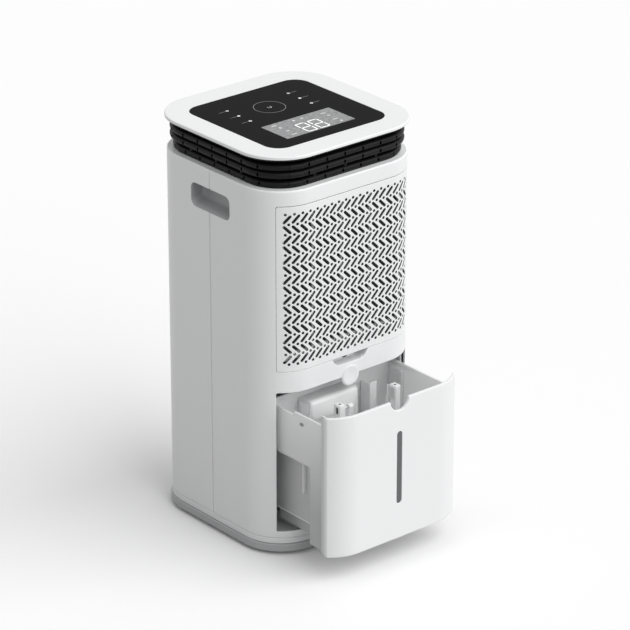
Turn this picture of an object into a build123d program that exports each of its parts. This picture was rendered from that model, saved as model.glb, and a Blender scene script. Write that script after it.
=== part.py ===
from build123d import *
import os
from math import asin, copysign, cos, floor, pi, radians, sin, sqrt

# Dehumidifier: a square column with a pull-out water tank, in millimetres.
# Origin on the floor under the middle of the column, +Z up, front towards -Y.
# The tank stands pulled out by tank_pull.

# Fits and walls
run_clear = 0.4
fit_clear = 0.2
shaft_clear = 0.05
panel_gap = 1.4
shell_wall = 2.5
inner_wall = 2.5
cut_over = 1.0
end_clear = 1.0

# Facets of small and hidden round pieces
disc_sides = 24
round_sides = 18
can_sides = 12
small_sides = 8
tiny_sides = 6
corner_steps = 6
corner_cut = 36.0

# Column outline
body_side = 260.0
corner_r = 61.0
shoulder_bevel = 2.0
parting_groove = 2.6
lip_wall = 1.6
lip_reach = 5.0
lip_root = 8.0

# Heights from the floor up
plinth_h = 5.0
lower_tier_h = 11.5
upper_tier_h = 8.5
louvre_h = 40.0
plate_h = 7.6
sill_h = 9.0
tank_open_h = 203.0
strip_h = 30.0
grille_open_h = 233.0
lintel_h = 21.0

# Base
lower_tier_proud = 2.0
upper_tier_proud = 0.8
tier_chamfer = 1.5
plinth_inset = 12.0
plinth_w = 18.0
base_floor = 4.0
base_wall = 6.0
deck_wall = 4.0
runner_x = 70.0
runner_w = 10.0
runner_h = 12.0
pad_r = 7.0
pad_depth = 3.0

# Hand recesses
grip_w = 80.0
grip_h = 33.0
grip_r = 9.0
grip_depth = 24.0
grip_wall = 2.0
grip_flange = 6.0
grip_steps = 3
grip_floor_rise = 6.0
grip_below_shoulder = 43.5

# Grille and filter
grille_t = 2.5
slot_len = 13.4
slot_w = 3.3
slot_lean = 45.0
col_pitch = 12.0
row_pitch = 14.05
slot_side_margin = 9.5
slot_end_margin = 7.0
least_turn = 2.0
hook_in = 9.0
hook_w = 22.0
hook_root = 9.0
hook_t = 4.0
hinge_rise = 8.0
hinge_set = 8.0
hinge_pin_r = 2.0
barrel_r = 4.5
ear_w = 4.0
ear_h = 9.0
ear_gap = 0.5
rail_set = 2.0
rail_t = 3.0
rail_depth = 23.0
filter_t = 4.0
filter_border = 9.0
filter_mesh_t = 0.8
filter_bar = 3.0
filter_bars = 3

# Strip under the grille
notch_top_half = 31.0
notch_low_half = 23.0
notch_drop = 11.5
notch_bevel = 4.0
cup_depth = 16.0
cup_wall = 2.0
disc_r = 15.0
lens_r = 13.0
lens_t = 1.5

# Air outlet and top
louvre_foot_in = 10.5
louvre_in = 4.0
louvre_lower_in = 10.0
louvre_wall = 8.0
ring_steps = 3
louvre_rings = 3
louvre_post_w = 5.0
louvre_posts_per_side = 1
louvre_ring_h = 9.0
louvre_ring_pitch = 11.4
louvre_ring_bevel = 2.6
louvre_top_drop = 7.4
shoulder_ledge = 18.0
plate_proud = 2.5
plate_edge = 1.2
glass_side_border = 34.5
glass_end_border = 35.5
glass_r = 23.5
glass_t = 3.0
glass_ledge = 14.0
display_w = 113.0
display_d = 54.0
display_set = 50.0
display_t = 7.0
board_d = 150.0
board_t = 1.6
boss_r = 4.5
boss_inset = 6.0

# Tank
tank_pull = 100.0
tank_front_t = 4.0
tank_notch_r = 15.8
window_w = 8.8
window_low = 52.0
window_h = 105.0
window_set = 0.5
window_steps = 3
bin_in = 7.13
bin_wall = 2.5
bin_rim_drop = 18.0
bin_rear_drop = 23.0
bin_back_drop = 20.0
bin_back = 13.0
bin_front_len = 58.0
bin_step_len = 90.0
bump_set = 12.0
bump_left = 57.0
bump_right = 27.0
bump_drop = 30.5
side_in_mid = 12.0
side_in_low = 19.0
side_mid_z = 124.0
side_low_z = 46.0
bin_lift = 12.4
post_x = 48.0
post_set = 65.0
post_w = 9.0
post_d = 12.0
post_drop = 16.0

# Float
float_pin_r = 2.0
float_pin_drop = 8.0
arm_w = 8.0
arm_t = 6.0
arm_x = 34.0
float_room = 12.5
float_w = 60.0
float_h = 26.0
float_bevel = 4.0
float_reach = 12.0
float_drop = 36.0
magnet_r = 3.0
magnet_t = 3.0

# Tank bay, deck and drip tray
bay_side_clear = 4.0
bay_back_clear = 3.5
bay_rise = 3.0
runner_set = 22.0
deck_t = 3.0
deck_steps = 3
tray_side_in = 32.0
tray_front_set = 20.0
tray_len = 68.0
tray_h = 16.0
tray_wall = 2.0
spout_r = 6.0
spout_wall = 1.5
spout_len = 12.0
spout_x = 70.0
spout_y = -52.0

# Coils
coil_in = 44.0
coil_h = 224.0
coil_t = 24.0
coil_gap = 8.0
coil_core = 16.0
fin_pitch = 18.0
fin_t = 1.2
coil_plate_t = 1.5
tray_side_gap = 4.0

# Fan
fan_rise = 129.0
scroll_r = 92.0
scroll_len = 72.0
scroll_gap = 8.0
scroll_outlet_gap = 5.0
outlet_left = -26.0
inlet_r = 58.0
wheel_r = 74.0
wheel_len = 50.0
wheel_disc_t = 3.0
wheel_rim_h = 5.0
wheel_rim_t = 2.0
blade_len = 15.0
blade_t = 1.4
blade_count = 13
blade_sweep = 35.0
hub_r = 12.0
hub_len = 18.0
shaft_r = 4.0
motor_r = 42.0
motor_len = 46.0
motor_bevel = 4.0
scroll_foot_x = 45.0
scroll_foot_w = 14.0

# Compressor room
comp_free = 21.5
comp_h = 165.0
comp_dome = 20.0
comp_dome_in = 28.0
leg_gap = 3.0
comp_gap = 5.0
leg_w = 22.0
leg_t = 3.0
leg_out = 12.0
leg_turns = (90, 210, 330)
grommet_r = 9.0
grommet_h = 12.0
stud_r = 3.0
stud_short = 1.0
acc_r = 15.0
acc_h = 95.0
acc_low = 55.0
acc_gap = 6.0
acc_dome = 8.0
strap_bite = 4.0
pipe_r = 4.0
pipe_out = 20.0
pipe_rise = 20.0
pipe_drop_y = 30.0
cap_r = 16.0
cap_h = 62.0
cap_side_in = 46.0
cap_gap = 7.5
switch_w = 24.0
switch_d = 10.0
switch_h = 16.0
switch_x = -60.0

# Electronics box
box_gap = 8.0
box_w = 40.0
box_d = 44.0
box_h = 150.0
box_wall = 2.0
pcb_t = 1.6
pcb_stand = 4.0
stand_r = 2.0
stand_x = 10.0
stand_z = 50.0
relay_w = 20.0
relay_d = 11.5
relay_h = 37.5

# Rear fittings
drain_in = 2.0
drain_drop = 32.0
drain_r = 8.0
drain_bore_r = 6.0
drain_len = 15.0
drain_cup_half = 22.0
drain_cup_depth = 19.0
drain_cup_wall = 2.0
drain_flange = 5.0
gland_side_in = 11.0
gland_z = 54.0
gland_r = 8.0
gland_flange_r = 12.0
gland_out = 5.0
gland_in = 6.0
cord_hole_r = 4.0
screw_in = 9.0
screw_r = 2.0
screw_head_r = 4.2
screw_head_t = 2.4
screw_bite = 10.0
block_w = 16.0
block_h = 16.0
block_d = 14.0

# Derived places
half = body_side / 2
corner_c = half - corner_r
edge_x = corner_c + corner_r * sin(pi / 4)
developed_half = corner_c + corner_r * pi / 4
rail_back = half - rail_depth
bin_half = edge_x - bin_in
post_back = half - post_set
bin_step_y = bin_step_len - half
tray_half = half - tray_side_in
coil_half = half - coil_in
louvre_foot_side = body_side - 2 * louvre_foot_in
louvre_side = body_side - 2 * louvre_in
louvre_lower_side = body_side - 2 * louvre_lower_in
shoulder_opening_side = body_side - 2 * shoulder_ledge
plate_side = body_side + 2 * plate_proud
glass_w = plate_side - 2 * glass_side_border
glass_d = plate_side - 2 * glass_end_border
cap_x = half - cap_side_in
box_x = motor_r + box_gap
screw_x = corner_c - screw_in
hook_x = corner_c - hook_in
comp_x = block_w / 2 + leg_w / 2 + leg_gap - screw_x
drain_x = corner_c - drain_cup_half - drain_flange - drain_in
gland_x = gland_flange_r + gland_side_in - corner_c
display_y = display_set - glass_d / 2
base_top = plinth_h + lower_tier_h + upper_tier_h
tank_open_z = base_top + sill_h
strip_z = tank_open_z + tank_open_h
grille_open_z = strip_z + strip_h
grille_top_z = grille_open_z + grille_open_h
shoulder_z = grille_top_z + lintel_h
plate_z = shoulder_z + louvre_h
top_z = plate_z + plate_h
inner_half = half - shell_wall
lip_inset = shell_wall + fit_clear
room_inset = lip_inset + lip_wall + fit_clear
bay_top = strip_z + bay_rise
deck_top = bay_top + deck_t
fan_z = deck_top + fan_rise
drain_z = strip_z - drain_drop
bin_rim = strip_z - bin_rim_drop
bin_rear_rim = strip_z - bin_rear_drop
bin_back_rim = strip_z - bin_back_drop
bump_top = strip_z - bump_drop
post_top = strip_z - post_drop
bay_half = bin_half + bay_side_clear
tank_half = edge_x - panel_gap / 2
tank_front_z = tank_open_z + panel_gap / 2
tank_top_z = strip_z - panel_gap / 2
bin_z = base_top + bin_lift
grip_z = shoulder_z - grip_below_shoulder
panel_half = edge_x - panel_gap / 2
rail_x = panel_half - rail_set - rail_t
panel_z = grille_open_z + panel_gap
panel_top = grille_top_z - panel_gap
tilt_y = hinge_set - half
tilt_z = grille_top_z + hinge_rise
evaporator_y = -(half - tray_front_set) + tray_side_gap
condenser_y = evaporator_y + coil_t + coil_gap
scroll_y = condenser_y + coil_t + scroll_gap
bay_back = bin_back + bay_back_clear + inner_wall
comp_r = (inner_half - bay_back - comp_free) / 2
leg_reach = comp_r + leg_out
comp_y = bay_back + comp_gap + comp_r
cap_y = bay_back + inner_wall + cap_gap + cap_r


# Shared shapes
def outline(inset=0.0):
    side = body_side - 2 * inset
    return RectangleRounded(side, side, corner_r - inset)


def column(inset, low, high):
    return Pos(0, 0, low) * extrude(outline(inset), high - low)


def square_column(side, low, high):
    return column((body_side - side) / 2, low, high)


def facet_rectangle(width, depth, radius, steps):
    corners = ((1, 1, 0), (-1, 1, 90), (-1, -1, 180), (1, -1, 270))
    points = []
    for sx, sy, start in corners:
        for step in range(steps + 1):
            turn = radians(start + 90 * step / steps)
            x = sx * (width / 2 - radius) + radius * cos(turn)
            points.append((x, sy * (depth / 2 - radius) + radius * sin(turn)))
    return make_face(Polyline(*points, close=True))


def facet_column(side, steps, low, high):
    shape = facet_rectangle(side, side, corner_r - (body_side - side) / 2, steps)
    return Pos(0, 0, low) * extrude(shape, high - low)


def slab(x0, x1, y0, y1, z0, z1):
    return Pos((x0 + x1) / 2, (y0 + y1) / 2, (z0 + z1) / 2) * Box(x1 - x0, y1 - y0, z1 - z0)


def front_prism(sketch, y0, y1):
    return extrude(Plane.XZ.offset(-y1) * sketch, y1 - y0)


def side_prism(sketch, x0, x1):
    return extrude(Plane.YZ.offset(x0) * sketch, x1 - x0)


def disc(radius, x, y, z0, z1):
    return Pos(x, y, z0) * extrude(Circle(radius), z1 - z0)


def facet_disc(radius, sides, x, y, z0, z1):
    return Pos(x, y, z0) * extrude(RegularPolygon(radius, sides), z1 - z0)


def facet_rod(radius, sides, x, z, y0, y1):
    return front_prism(Pos(x, z) * RegularPolygon(radius, sides), y0, y1)


def rod_y(radius, x, z, y0, y1):
    return front_prism(Pos(x, z) * Circle(radius), y0, y1)


def facet_bar(radius, y, z, x0, x1):
    return side_prism(Pos(y, z) * RegularPolygon(radius, small_sides), x0, x1)


def rod_x(radius, y, z, x0, x1):
    return side_prism(Pos(y, z) * Circle(radius), x0, x1)


def arc_y(x, radius):
    return corner_c + sqrt(radius**2 - max(abs(x) - corner_c, 0) ** 2)


def mirrored(shape):
    return shape + mirror(shape, about=Plane.YZ)


# Base and pads
def pad_places():
    reach = half - plinth_inset - plinth_w / 2
    bend = corner_r - plinth_inset - plinth_w / 2
    spot = reach - bend + bend * sin(pi / 4)
    return [(sx * spot, sy * spot) for sx in (-1, 1) for sy in (-1, 1)]


def make_base():
    tier_z = plinth_h + lower_tier_h
    lower = facet_column(body_side + 2 * lower_tier_proud, corner_steps, plinth_h, tier_z)
    lower = chamfer(lower.edges().group_by(Axis.Z)[-1], tier_chamfer)
    upper = facet_column(body_side + 2 * upper_tier_proud, corner_steps, tier_z, base_top)
    foot = half - plinth_inset
    plinth = slab(-foot, foot, -foot, foot, 0, plinth_h)
    base = lower + upper + chamfer(plinth.edges().filter_by(Axis.Z), corner_cut)
    under = corner_c + corner_r / 2 - plinth_inset - plinth_w / 2
    base -= slab(-under, under, -under, bay_back, 0, base_top - deck_wall)
    base -= slab(-under, under, bay_back, under, 0, plinth_h)
    room = half - base_wall
    room_y = bay_back + inner_wall
    cavity = slab(-room, room, room_y, room, plinth_h + base_floor, base_top)
    base -= chamfer(cavity.edges().filter_by(Axis.Z).group_by(Axis.Y)[-1], corner_cut)
    rear = inner_half - fit_clear
    for side in (-1, 1):
        x = side * runner_x
        front = -(half - runner_set)
        base += slab(x - runner_w / 2, x + runner_w / 2, front, bin_back, base_top, base_top + runner_h)
        x = side * screw_x
        block = slab(x - block_w / 2, x + block_w / 2, rear - block_d, rear, plinth_h, base_top + block_h)
        base += block - screw_hole(x, base_top + block_h / 2)
    for x, y in pad_places():
        base -= facet_disc(pad_r + fit_clear, small_sides, x, y, 0, pad_depth)
    low = plinth_h + base_floor
    for x, y in leg_places():
        base += facet_disc(stud_r, tiny_sides, x, y, low, low + grommet_h - stud_short)
    return base


def make_pads():
    return Part() + [facet_disc(pad_r, small_sides, x, y, 0, pad_depth) for x, y in pad_places()]


# Column shells
def grip_window(grow):
    return Pos(0, grip_z) * facet_rectangle(grip_w + 2 * grow, grip_h + 2 * grow, grip_r + grow, grip_steps)


def make_column():
    body = column(0, base_top, shoulder_z)
    body = chamfer(body.edges().group_by(Axis.Z)[-1], shoulder_bevel)
    body -= column(shell_wall, base_top, shoulder_z - shell_wall)
    body -= square_column(shoulder_opening_side, shoulder_z - shell_wall, shoulder_z)
    body -= mirrored(side_prism(grip_window(0), -half, -inner_half))
    return body


def notch_sketch(grow, low, high):
    slope = (notch_top_half - notch_low_half) / notch_drop
    rim = grille_open_z
    foot = notch_low_half - slope * low
    head = notch_top_half + slope * high
    sill = rim - notch_drop - low
    points = [(-head, rim + high), (-foot, sill), (foot, sill), (head, rim + high)]
    shape = make_face(Polyline(*points, close=True))
    shape = chamfer(shape.vertices().sort_by(Axis.Y)[:2], notch_bevel)
    return offset(shape, grow) if grow else shape


def make_front_shell(body):
    shell = body & slab(-half, half, -half, 0, 0, top_z)
    shell -= slab(-edge_x, edge_x, -half, -corner_c, grille_open_z, grille_top_z)
    shell -= slab(-edge_x, edge_x, -half, -corner_c, tank_open_z, strip_z)
    shell -= front_prism(notch_sketch(0, 0, cut_over), -half, -inner_half)
    shell += facet_rod(disc_r, disc_sides, 0, strip_z, -half, -inner_half)
    shell -= facet_rod(lens_r + fit_clear, disc_sides, 0, strip_z, -half, -half + lens_t)
    return shell + hinge_ears()


def make_rear_shell(body):
    shell = body & slab(-half, half, parting_groove, half, 0, top_z)
    low = base_top + fit_clear
    high = shoulder_z - shell_wall
    lip_in = lip_inset + lip_wall
    lip = column(lip_inset, low, high) - column(lip_in, low, high)
    root = column(shell_wall / 2, low, high) - column(lip_in, low, high)
    shell += lip & slab(-half, half, -lip_reach, lip_root, 0, top_z)
    shell += root & slab(-half, half, parting_groove, lip_root, 0, top_z)
    rim = Rectangle(grip_w + 2 * (grip_flange + fit_clear), grip_h + 2 * (grip_flange + fit_clear))
    shell -= mirrored(side_prism(Pos(0, grip_z) * rim, -inner_half, -half + grip_depth))
    shell -= mirrored(side_prism(grip_window(0), -half, -inner_half))
    inside = inner_half - cut_over
    shell -= drain_box(drain_cup_half + fit_clear, inside, half)
    shell -= facet_rod(gland_r + fit_clear, tiny_sides, gland_x, gland_z, inside, half)
    for x, z in screw_places():
        shell -= facet_rod(screw_r + fit_clear, tiny_sides, x, z, inside, half)
    return shell


def make_grip_cup():
    cup = side_prism(grip_window(-fit_clear), -half, -inner_half)
    back = Pos(0, grip_z) * Rectangle(grip_w, grip_h)
    rim = Pos(0, grip_z) * Rectangle(grip_w + 2 * grip_flange, grip_h + 2 * grip_flange)
    cup += side_prism(back, -inner_half, -half + grip_depth)
    cup += side_prism(rim, -inner_half, -inner_half + grip_wall)
    deep = -half + grip_depth - grip_wall
    high = grip_z + grip_h / 2 - grip_wall
    low = grip_z - grip_h / 2 + grip_wall
    scoop = Polyline((-half, low), (-half, high), (deep, high), (deep, low + grip_floor_rise), close=True)
    hollow = front_prism(make_face(scoop), grip_wall - grip_w / 2, grip_w / 2 - grip_wall)
    return cup - (hollow & side_prism(grip_window(-grip_wall), -half, deep))


def make_finger_cup():
    lift = panel_gap
    front = -inner_half
    cup = front_prism(notch_sketch(cup_wall, 0, lift), front, front + cup_depth)
    cup -= front_prism(notch_sketch(0, 0, lift + cup_wall + cut_over), front, front + cup_depth - cup_wall)
    roof = grille_open_z - fit_clear
    return cup - slab(-half, half, front, front + cup_depth, roof, roof + strip_h)


def make_lens():
    return facet_rod(lens_r, disc_sides, 0, strip_z, -half, -half + lens_t)


# Grille with its herringbone slots
def outline_x(u):
    flat = min(abs(u), corner_c)
    bend = (abs(u) - flat) / corner_r
    return copysign(flat + corner_r * sin(bend), u)


def slot_sketch(u, z, lean):
    along = (cos(radians(lean)) * slot_len / 2, sin(radians(lean)) * slot_len / 2)
    across = (-sin(radians(lean)) * slot_w / 2, cos(radians(lean)) * slot_w / 2)
    points = []
    for a, b in ((1, 1), (-1, 1), (-1, -1), (1, -1)):
        du = a * along[0] + b * across[0]
        dz = a * along[1] + b * across[1]
        points.append((outline_x(u + du), z + dz))
    return make_face(Polyline(*points, close=True))


def slot_cols():
    span = slot_len * cos(radians(slot_lean)) + slot_w * sin(radians(slot_lean))
    return floor((2 * (developed_half - slot_side_margin) - span) / col_pitch) + 1


def slot_sketches():
    cols = slot_cols()
    rows = floor((panel_top - panel_z - 2 * slot_end_margin) / row_pitch)
    middle = (panel_top + panel_z) / 2
    sketches = []
    for row in range(rows):
        z = middle + ((rows - 1) / 2 - row) * row_pitch
        lean = slot_lean if row % 2 == 0 else 180 - slot_lean
        for col in range(cols):
            u = (col - (cols - 1) / 2) * col_pitch
            sketches.append(slot_sketch(u, z, lean))
    return sketches


# Right half of the panel's section, one facet for each column of slots round the corner
def facet_points(inset):
    radius = corner_r - inset
    joints = [k * col_pitch - slot_cols() % 2 * col_pitch / 2 for k in range(1, slot_cols())]
    bends = [(u - corner_c) / corner_r for u in joints]
    last = asin((panel_half - corner_c) / radius)
    turns = [turn for turn in bends if 0 < turn < last - radians(least_turn)] + [last]
    return [(corner_c + radius * sin(turn), -corner_c - radius * cos(turn)) for turn in turns]


def panel_section():
    outer = facet_points(0)
    inner = facet_points(grille_t)
    points = outer + inner[::-1] + [(-x, y) for x, y in inner] + [(-x, y) for x, y in outer[::-1]]
    return make_face(Polyline(*points, close=True))


def make_grille():
    skin = Pos(0, 0, panel_z) * extrude(panel_section(), panel_top - panel_z)
    skin -= [front_prism(sketch, -half, -corner_c) for sketch in slot_sketches()]
    back = grille_t / 2 - half
    for side in (-1, 1):
        x0 = side * hook_x - hook_w / 2
        x1 = x0 + hook_w
        root = panel_top - hook_root
        tongue = slab(x0, x1, tilt_y - hook_t / 2, tilt_y + hook_t / 2, root, tilt_z)
        tongue += facet_bar(barrel_r, tilt_y, tilt_z, x0, x1)
        skin += tongue + slab(x0, x1, back, tilt_y, root, panel_top - panel_gap)
        wide = side * (rail_x + rail_t / 2)
        rail_y = -arc_y(rail_x + rail_t, corner_r - grille_t / 2)
        skin += slab(wide - rail_t / 2, wide + rail_t / 2, rail_y, -rail_back, filter_low(), filter_high())
    return skin - hinge_bores()


def hinge_reach():
    return hook_w / 2 + ear_gap + ear_w


def hinge_bores():
    reach = hinge_reach()
    radius = hinge_pin_r + run_clear
    return [facet_bar(radius, tilt_y, tilt_z, x - reach, x + reach) for x in (-hook_x, hook_x)]


def hinge_ears():
    ears = Part()
    for x in (-hook_x, hook_x):
        block = slab(x - hinge_reach(), x + hinge_reach(), -inner_half, tilt_y + ear_h / 2,
                     tilt_z - ear_h / 2, tilt_z + ear_h / 2)
        room = hook_w / 2 + ear_gap
        ears += block - slab(x - room, x + room, -half, 0, grille_open_z, shoulder_z)
    return ears - hinge_bores()


def make_hinge_pins():
    reach = hinge_reach()
    return Part() + [rod_x(hinge_pin_r, tilt_y, tilt_z, x - reach, x + reach) for x in (-hook_x, hook_x)]


def filter_low():
    return panel_z + hook_root


def filter_high():
    return panel_top - hook_root - fit_clear


def make_filter_frame():
    reach = rail_x - fit_clear
    y0 = -(rail_back + filter_t)
    frame = slab(-reach, reach, y0, -rail_back, filter_low(), filter_high())
    hole_x = reach - filter_border
    hole_low = filter_low() + filter_border
    hole_high = filter_high() - filter_border
    frame -= slab(-hole_x, hole_x, y0, -rail_back, hole_low, hole_high)
    step = 2 * hole_x / (filter_bars + 1)
    for bar in range(filter_bars):
        x = -hole_x + (bar + 1) * step
        frame += slab(x - filter_bar / 2, x + filter_bar / 2, y0, y0 + filter_bar, hole_low, hole_high)
    return frame


def make_filter_mesh():
    reach = rail_x - fit_clear - filter_border / 2
    return slab(-reach, reach, -rail_back, -rail_back + filter_mesh_t,
                filter_low() + filter_border / 2, filter_high() - filter_border / 2)


# Air outlet, top frame and controls
def make_louvre():
    foot_low = shoulder_z
    foot_in = louvre_foot_side - 2 * louvre_wall
    louvre = Part()
    for ring in range(louvre_rings):
        side = louvre_lower_side if ring == louvre_rings - 1 else louvre_side
        high = plate_z - louvre_top_drop - ring * louvre_ring_pitch
        low = high - louvre_ring_h
        band = facet_column(side, ring_steps, low, high)
        edges = band.edges().group_by(Axis.Z)[-1] + band.edges().group_by(Axis.Z)[0]
        band = chamfer(edges, louvre_ring_bevel)
        louvre += band - facet_column(foot_in, ring_steps, low, high)
    outer = louvre_foot_side / 2
    inner = foot_in / 2
    span = 2 * corner_c / (louvre_posts_per_side + 1)
    for post in range(louvre_posts_per_side):
        at = -corner_c + (post + 1) * span
        for turn in range(4):
            bar = slab(at - louvre_post_w / 2, at + louvre_post_w / 2, -outer, -inner, foot_low, plate_z)
            louvre += Rot(0, 0, 90 * turn) * bar
    neck_low = plate_z - louvre_top_drop
    neck = facet_column(louvre_foot_side, ring_steps, neck_low, plate_z)
    return louvre + (neck - facet_column(foot_in, ring_steps, neck_low, plate_z))


def make_top_frame():
    frame = facet_rectangle(plate_side, plate_side, corner_r + (plate_side - body_side) / 2, corner_steps)
    plate = Pos(0, 0, plate_z) * extrude(frame, plate_h)
    plate = chamfer(plate.edges().group_by(Axis.Z)[-1], plate_edge)
    seat = facet_rectangle(glass_w + 2 * fit_clear, glass_d + 2 * fit_clear, glass_r + fit_clear, corner_steps)
    plate -= Pos(0, 0, top_z - glass_t) * extrude(seat, glass_t)
    hole = Rectangle(glass_w - 2 * glass_ledge, glass_d - 2 * glass_ledge)
    plate -= Pos(0, 0, plate_z) * extrude(hole, plate_h)
    for x, y in boss_places():
        plate += facet_disc(boss_r, small_sides, x, y, board_top(), plate_z)
    return plate


def board_top():
    return top_z - glass_t - fit_clear - display_t


def boss_places():
    x = glass_w / 2 - glass_ledge / 2
    y = board_d / 2 - boss_inset
    return [(sx * x, sy * y) for sx in (-1, 1) for sy in (-1, 1)]


def make_glass():
    shape = facet_rectangle(glass_w, glass_d, glass_r, corner_steps)
    return Pos(0, 0, top_z - glass_t) * extrude(shape, glass_t)


def make_display():
    y0 = display_y - display_d / 2
    return slab(-display_w / 2, display_w / 2, y0, y0 + display_d, board_top(), board_top() + display_t)


def make_control_board():
    reach_x = boss_places()[-1][0] + boss_inset
    reach_y = board_d / 2
    return slab(-reach_x, reach_x, -reach_y, reach_y, board_top() - board_t, board_top())


# Water tank, drawn closed and then pulled out
def pulled(shape):
    return Pos(0, -tank_pull, 0) * shape


def window_z():
    return tank_open_z + window_low


def window_sketch(grow):
    middle = window_z() + window_h / 2
    width = window_w + 2 * grow
    return Pos(0, middle) * facet_rectangle(width, window_h + 2 * grow, width / 2 - cut_over, window_steps)


def make_tank_front():
    panel = column(0, tank_front_z, tank_top_z) - column(tank_front_t, tank_front_z, tank_top_z)
    panel &= slab(-tank_half, tank_half, -half, -corner_c, tank_front_z, tank_top_z)
    panel -= facet_rod(tank_notch_r, disc_sides, 0, strip_z, -half, -corner_c)
    panel -= front_prism(window_sketch(0), -half, -corner_c)
    return pulled(panel)


def make_level_window():
    return pulled(front_prism(window_sketch(-fit_clear), -half + window_set, -half + tank_front_t))


def bin_front(inset, low, high, y1):
    front = column(tank_front_t + fit_clear + inset, low, high)
    return front & slab(inset - bin_half, bin_half - inset, -half, y1, low, high)


def bin_block(x_in, y0, y1, low, high):
    return slab(x_in - bin_half, bin_half - x_in, y0, y1, low, high)


def make_bin():
    wall = bin_wall
    step_y = bin_front_len - half
    low_z = bin_z + side_low_z - bin_lift
    mid_z = bin_z + side_mid_z - bin_lift
    outer = bin_front(0, bin_z, bin_rim, step_y)
    outer += bin_block(0, step_y, bin_step_y, mid_z, bin_rim)
    outer += bin_block(0, bin_step_y, bin_back, mid_z, bin_rear_rim)
    outer += bin_block(side_in_mid, step_y, bin_back, low_z, mid_z)
    outer += bin_block(side_in_low, step_y, bin_back, bin_z, low_z)
    outer += bin_block(0, bin_back - wall, bin_back, mid_z, bin_back_rim)
    inner = bin_front(wall, bin_z + wall, bin_rim, step_y - wall)
    rear = bin_back - wall
    inner += bin_block(wall, step_y - wall, rear, mid_z + wall, bin_rim)
    inner += bin_block(side_in_mid + wall, step_y - wall, rear, low_z + wall, mid_z + wall)
    inner += bin_block(side_in_low + wall, step_y - wall, rear, bin_z + wall, low_z + wall)
    shell = outer - inner
    shell += slab(-bump_left, bump_right, -bump_set - wall, bin_back, bin_z, bump_top)
    shell -= slab(wall - bump_left, bump_right - wall, -bump_set, bin_back, bin_z, bump_top - wall)
    for side in (-1, 1):
        x = side * post_x
        post = slab(x - post_w / 2, x + post_w / 2, -post_back - post_d / 2, -post_back + post_d / 2,
                    bin_z + wall, post_top)
        shell += post
    reach = post_x + post_w
    return pulled(shell - facet_bar(float_pin_r + run_clear, -post_back, pin_z(), -reach, reach))


def pin_z():
    return post_top - float_pin_drop


# Float, hinged in the two posts
def make_float_pins():
    pin = rod_x(float_pin_r, -post_back, pin_z(), arm_x - arm_w / 2, post_x + post_w / 2)
    return pulled(mirrored(pin))


def float_front():
    return -post_back + float_reach


def float_len():
    return -bump_set - bin_wall - float_room - float_front()


def float_top():
    return pin_z() - float_drop


def make_float_arm():
    z = pin_z()
    arm = Part()
    for side in (-1, 1):
        x0 = side * arm_x - arm_w / 2
        x1 = x0 + arm_w
        arm += slab(x0, x1, -post_back - arm_t, float_front(), z - arm_t, z + arm_t / 2)
        arm += slab(x0, x1, float_front() - arm_t, float_front(), float_top() - float_h / 2, z)
    reach = arm_x + arm_w / 2
    arm += slab(-reach, reach, float_front() - arm_t, float_front(), float_top() - float_h / 2, float_top())
    return pulled(arm - facet_bar(float_pin_r + run_clear, -post_back, z, -post_x, post_x))


def make_float():
    z = float_top()
    block = slab(-float_w / 2, float_w / 2, float_front(), float_front() + float_len(), z - float_h, z)
    block = chamfer(block.edges().filter_by(Axis.X), float_bevel)
    return pulled(block - facet_disc(magnet_r + shaft_clear, can_sides, 0, magnet_y(), z - magnet_t, z))


def magnet_y():
    return float_front() + float_len() / 2


def make_magnet():
    z = float_top()
    return pulled(facet_disc(magnet_r, can_sides, 0, magnet_y(), z - magnet_t, z))


# Tank bay, deck and drip tray
def make_bay():
    front = panel_gap - arc_y(tank_half, corner_r - tank_front_t)
    wide = bay_half + inner_wall
    bay = slab(-wide, wide, front, bay_back, base_top, bay_top)
    return bay - slab(-bay_half, bay_half, front, bay_back - inner_wall, base_top, bay_top)


def make_deck():
    side = body_side - 2 * room_inset
    shape = facet_rectangle(side, side, corner_r - room_inset, deck_steps)
    deck = Pos(0, 0, bay_top) * extrude(shape, deck_t)
    deck -= facet_disc(spout_r + fit_clear, can_sides, spout_x, spout_y, bay_top, deck_top)
    for x, y in pipe_holes():
        deck -= facet_disc(pipe_r + run_clear, small_sides, x, y, bay_top, deck_top)
    rear = inner_half - fit_clear
    for side in (-1, 1):
        x = side * screw_x
        block = slab(x - block_w / 2, x + block_w / 2, rear - block_d, rear, bay_top, deck_top + block_h)
        deck += block - screw_hole(x, deck_top + block_h / 2)
    return deck


def tray_y():
    return -(half - tray_front_set)


def make_drip_tray():
    y0 = tray_y()
    y1 = y0 + tray_len
    tray = slab(-tray_half, tray_half, y0, y1, deck_top, deck_top + tray_h)
    tray -= slab(tray_wall - tray_half, tray_half - tray_wall, y0 + tray_wall, y1 - tray_wall,
                 deck_top + tray_wall, deck_top + tray_h)
    tray += facet_disc(spout_r, can_sides, spout_x, spout_y, bay_top - spout_len, deck_top + tray_wall / 2)
    bore_r = spout_r - spout_wall
    return tray - facet_disc(bore_r, can_sides, spout_x, spout_y, bay_top - spout_len, deck_top + tray_wall)


# Coils: a finned core between two end plates
def make_coil(y0):
    low = deck_top + tray_wall
    high = low + coil_h
    coil = slab(-coil_half, coil_half, y0 + coil_t - coil_core, y0 + coil_t, low, high)
    count = floor((2 * coil_half - fin_pitch) / fin_pitch)
    for fin in range(count):
        x = (fin - (count - 1) / 2) * fin_pitch
        coil += slab(x - fin_t / 2, x + fin_t / 2, y0, y0 + coil_t, low, high)
    for side in (-1, 1):
        x = side * (coil_half + coil_plate_t / 2)
        coil += slab(x - coil_plate_t / 2, x + coil_plate_t / 2, y0, y0 + coil_t, low, high)
    return coil


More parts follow.
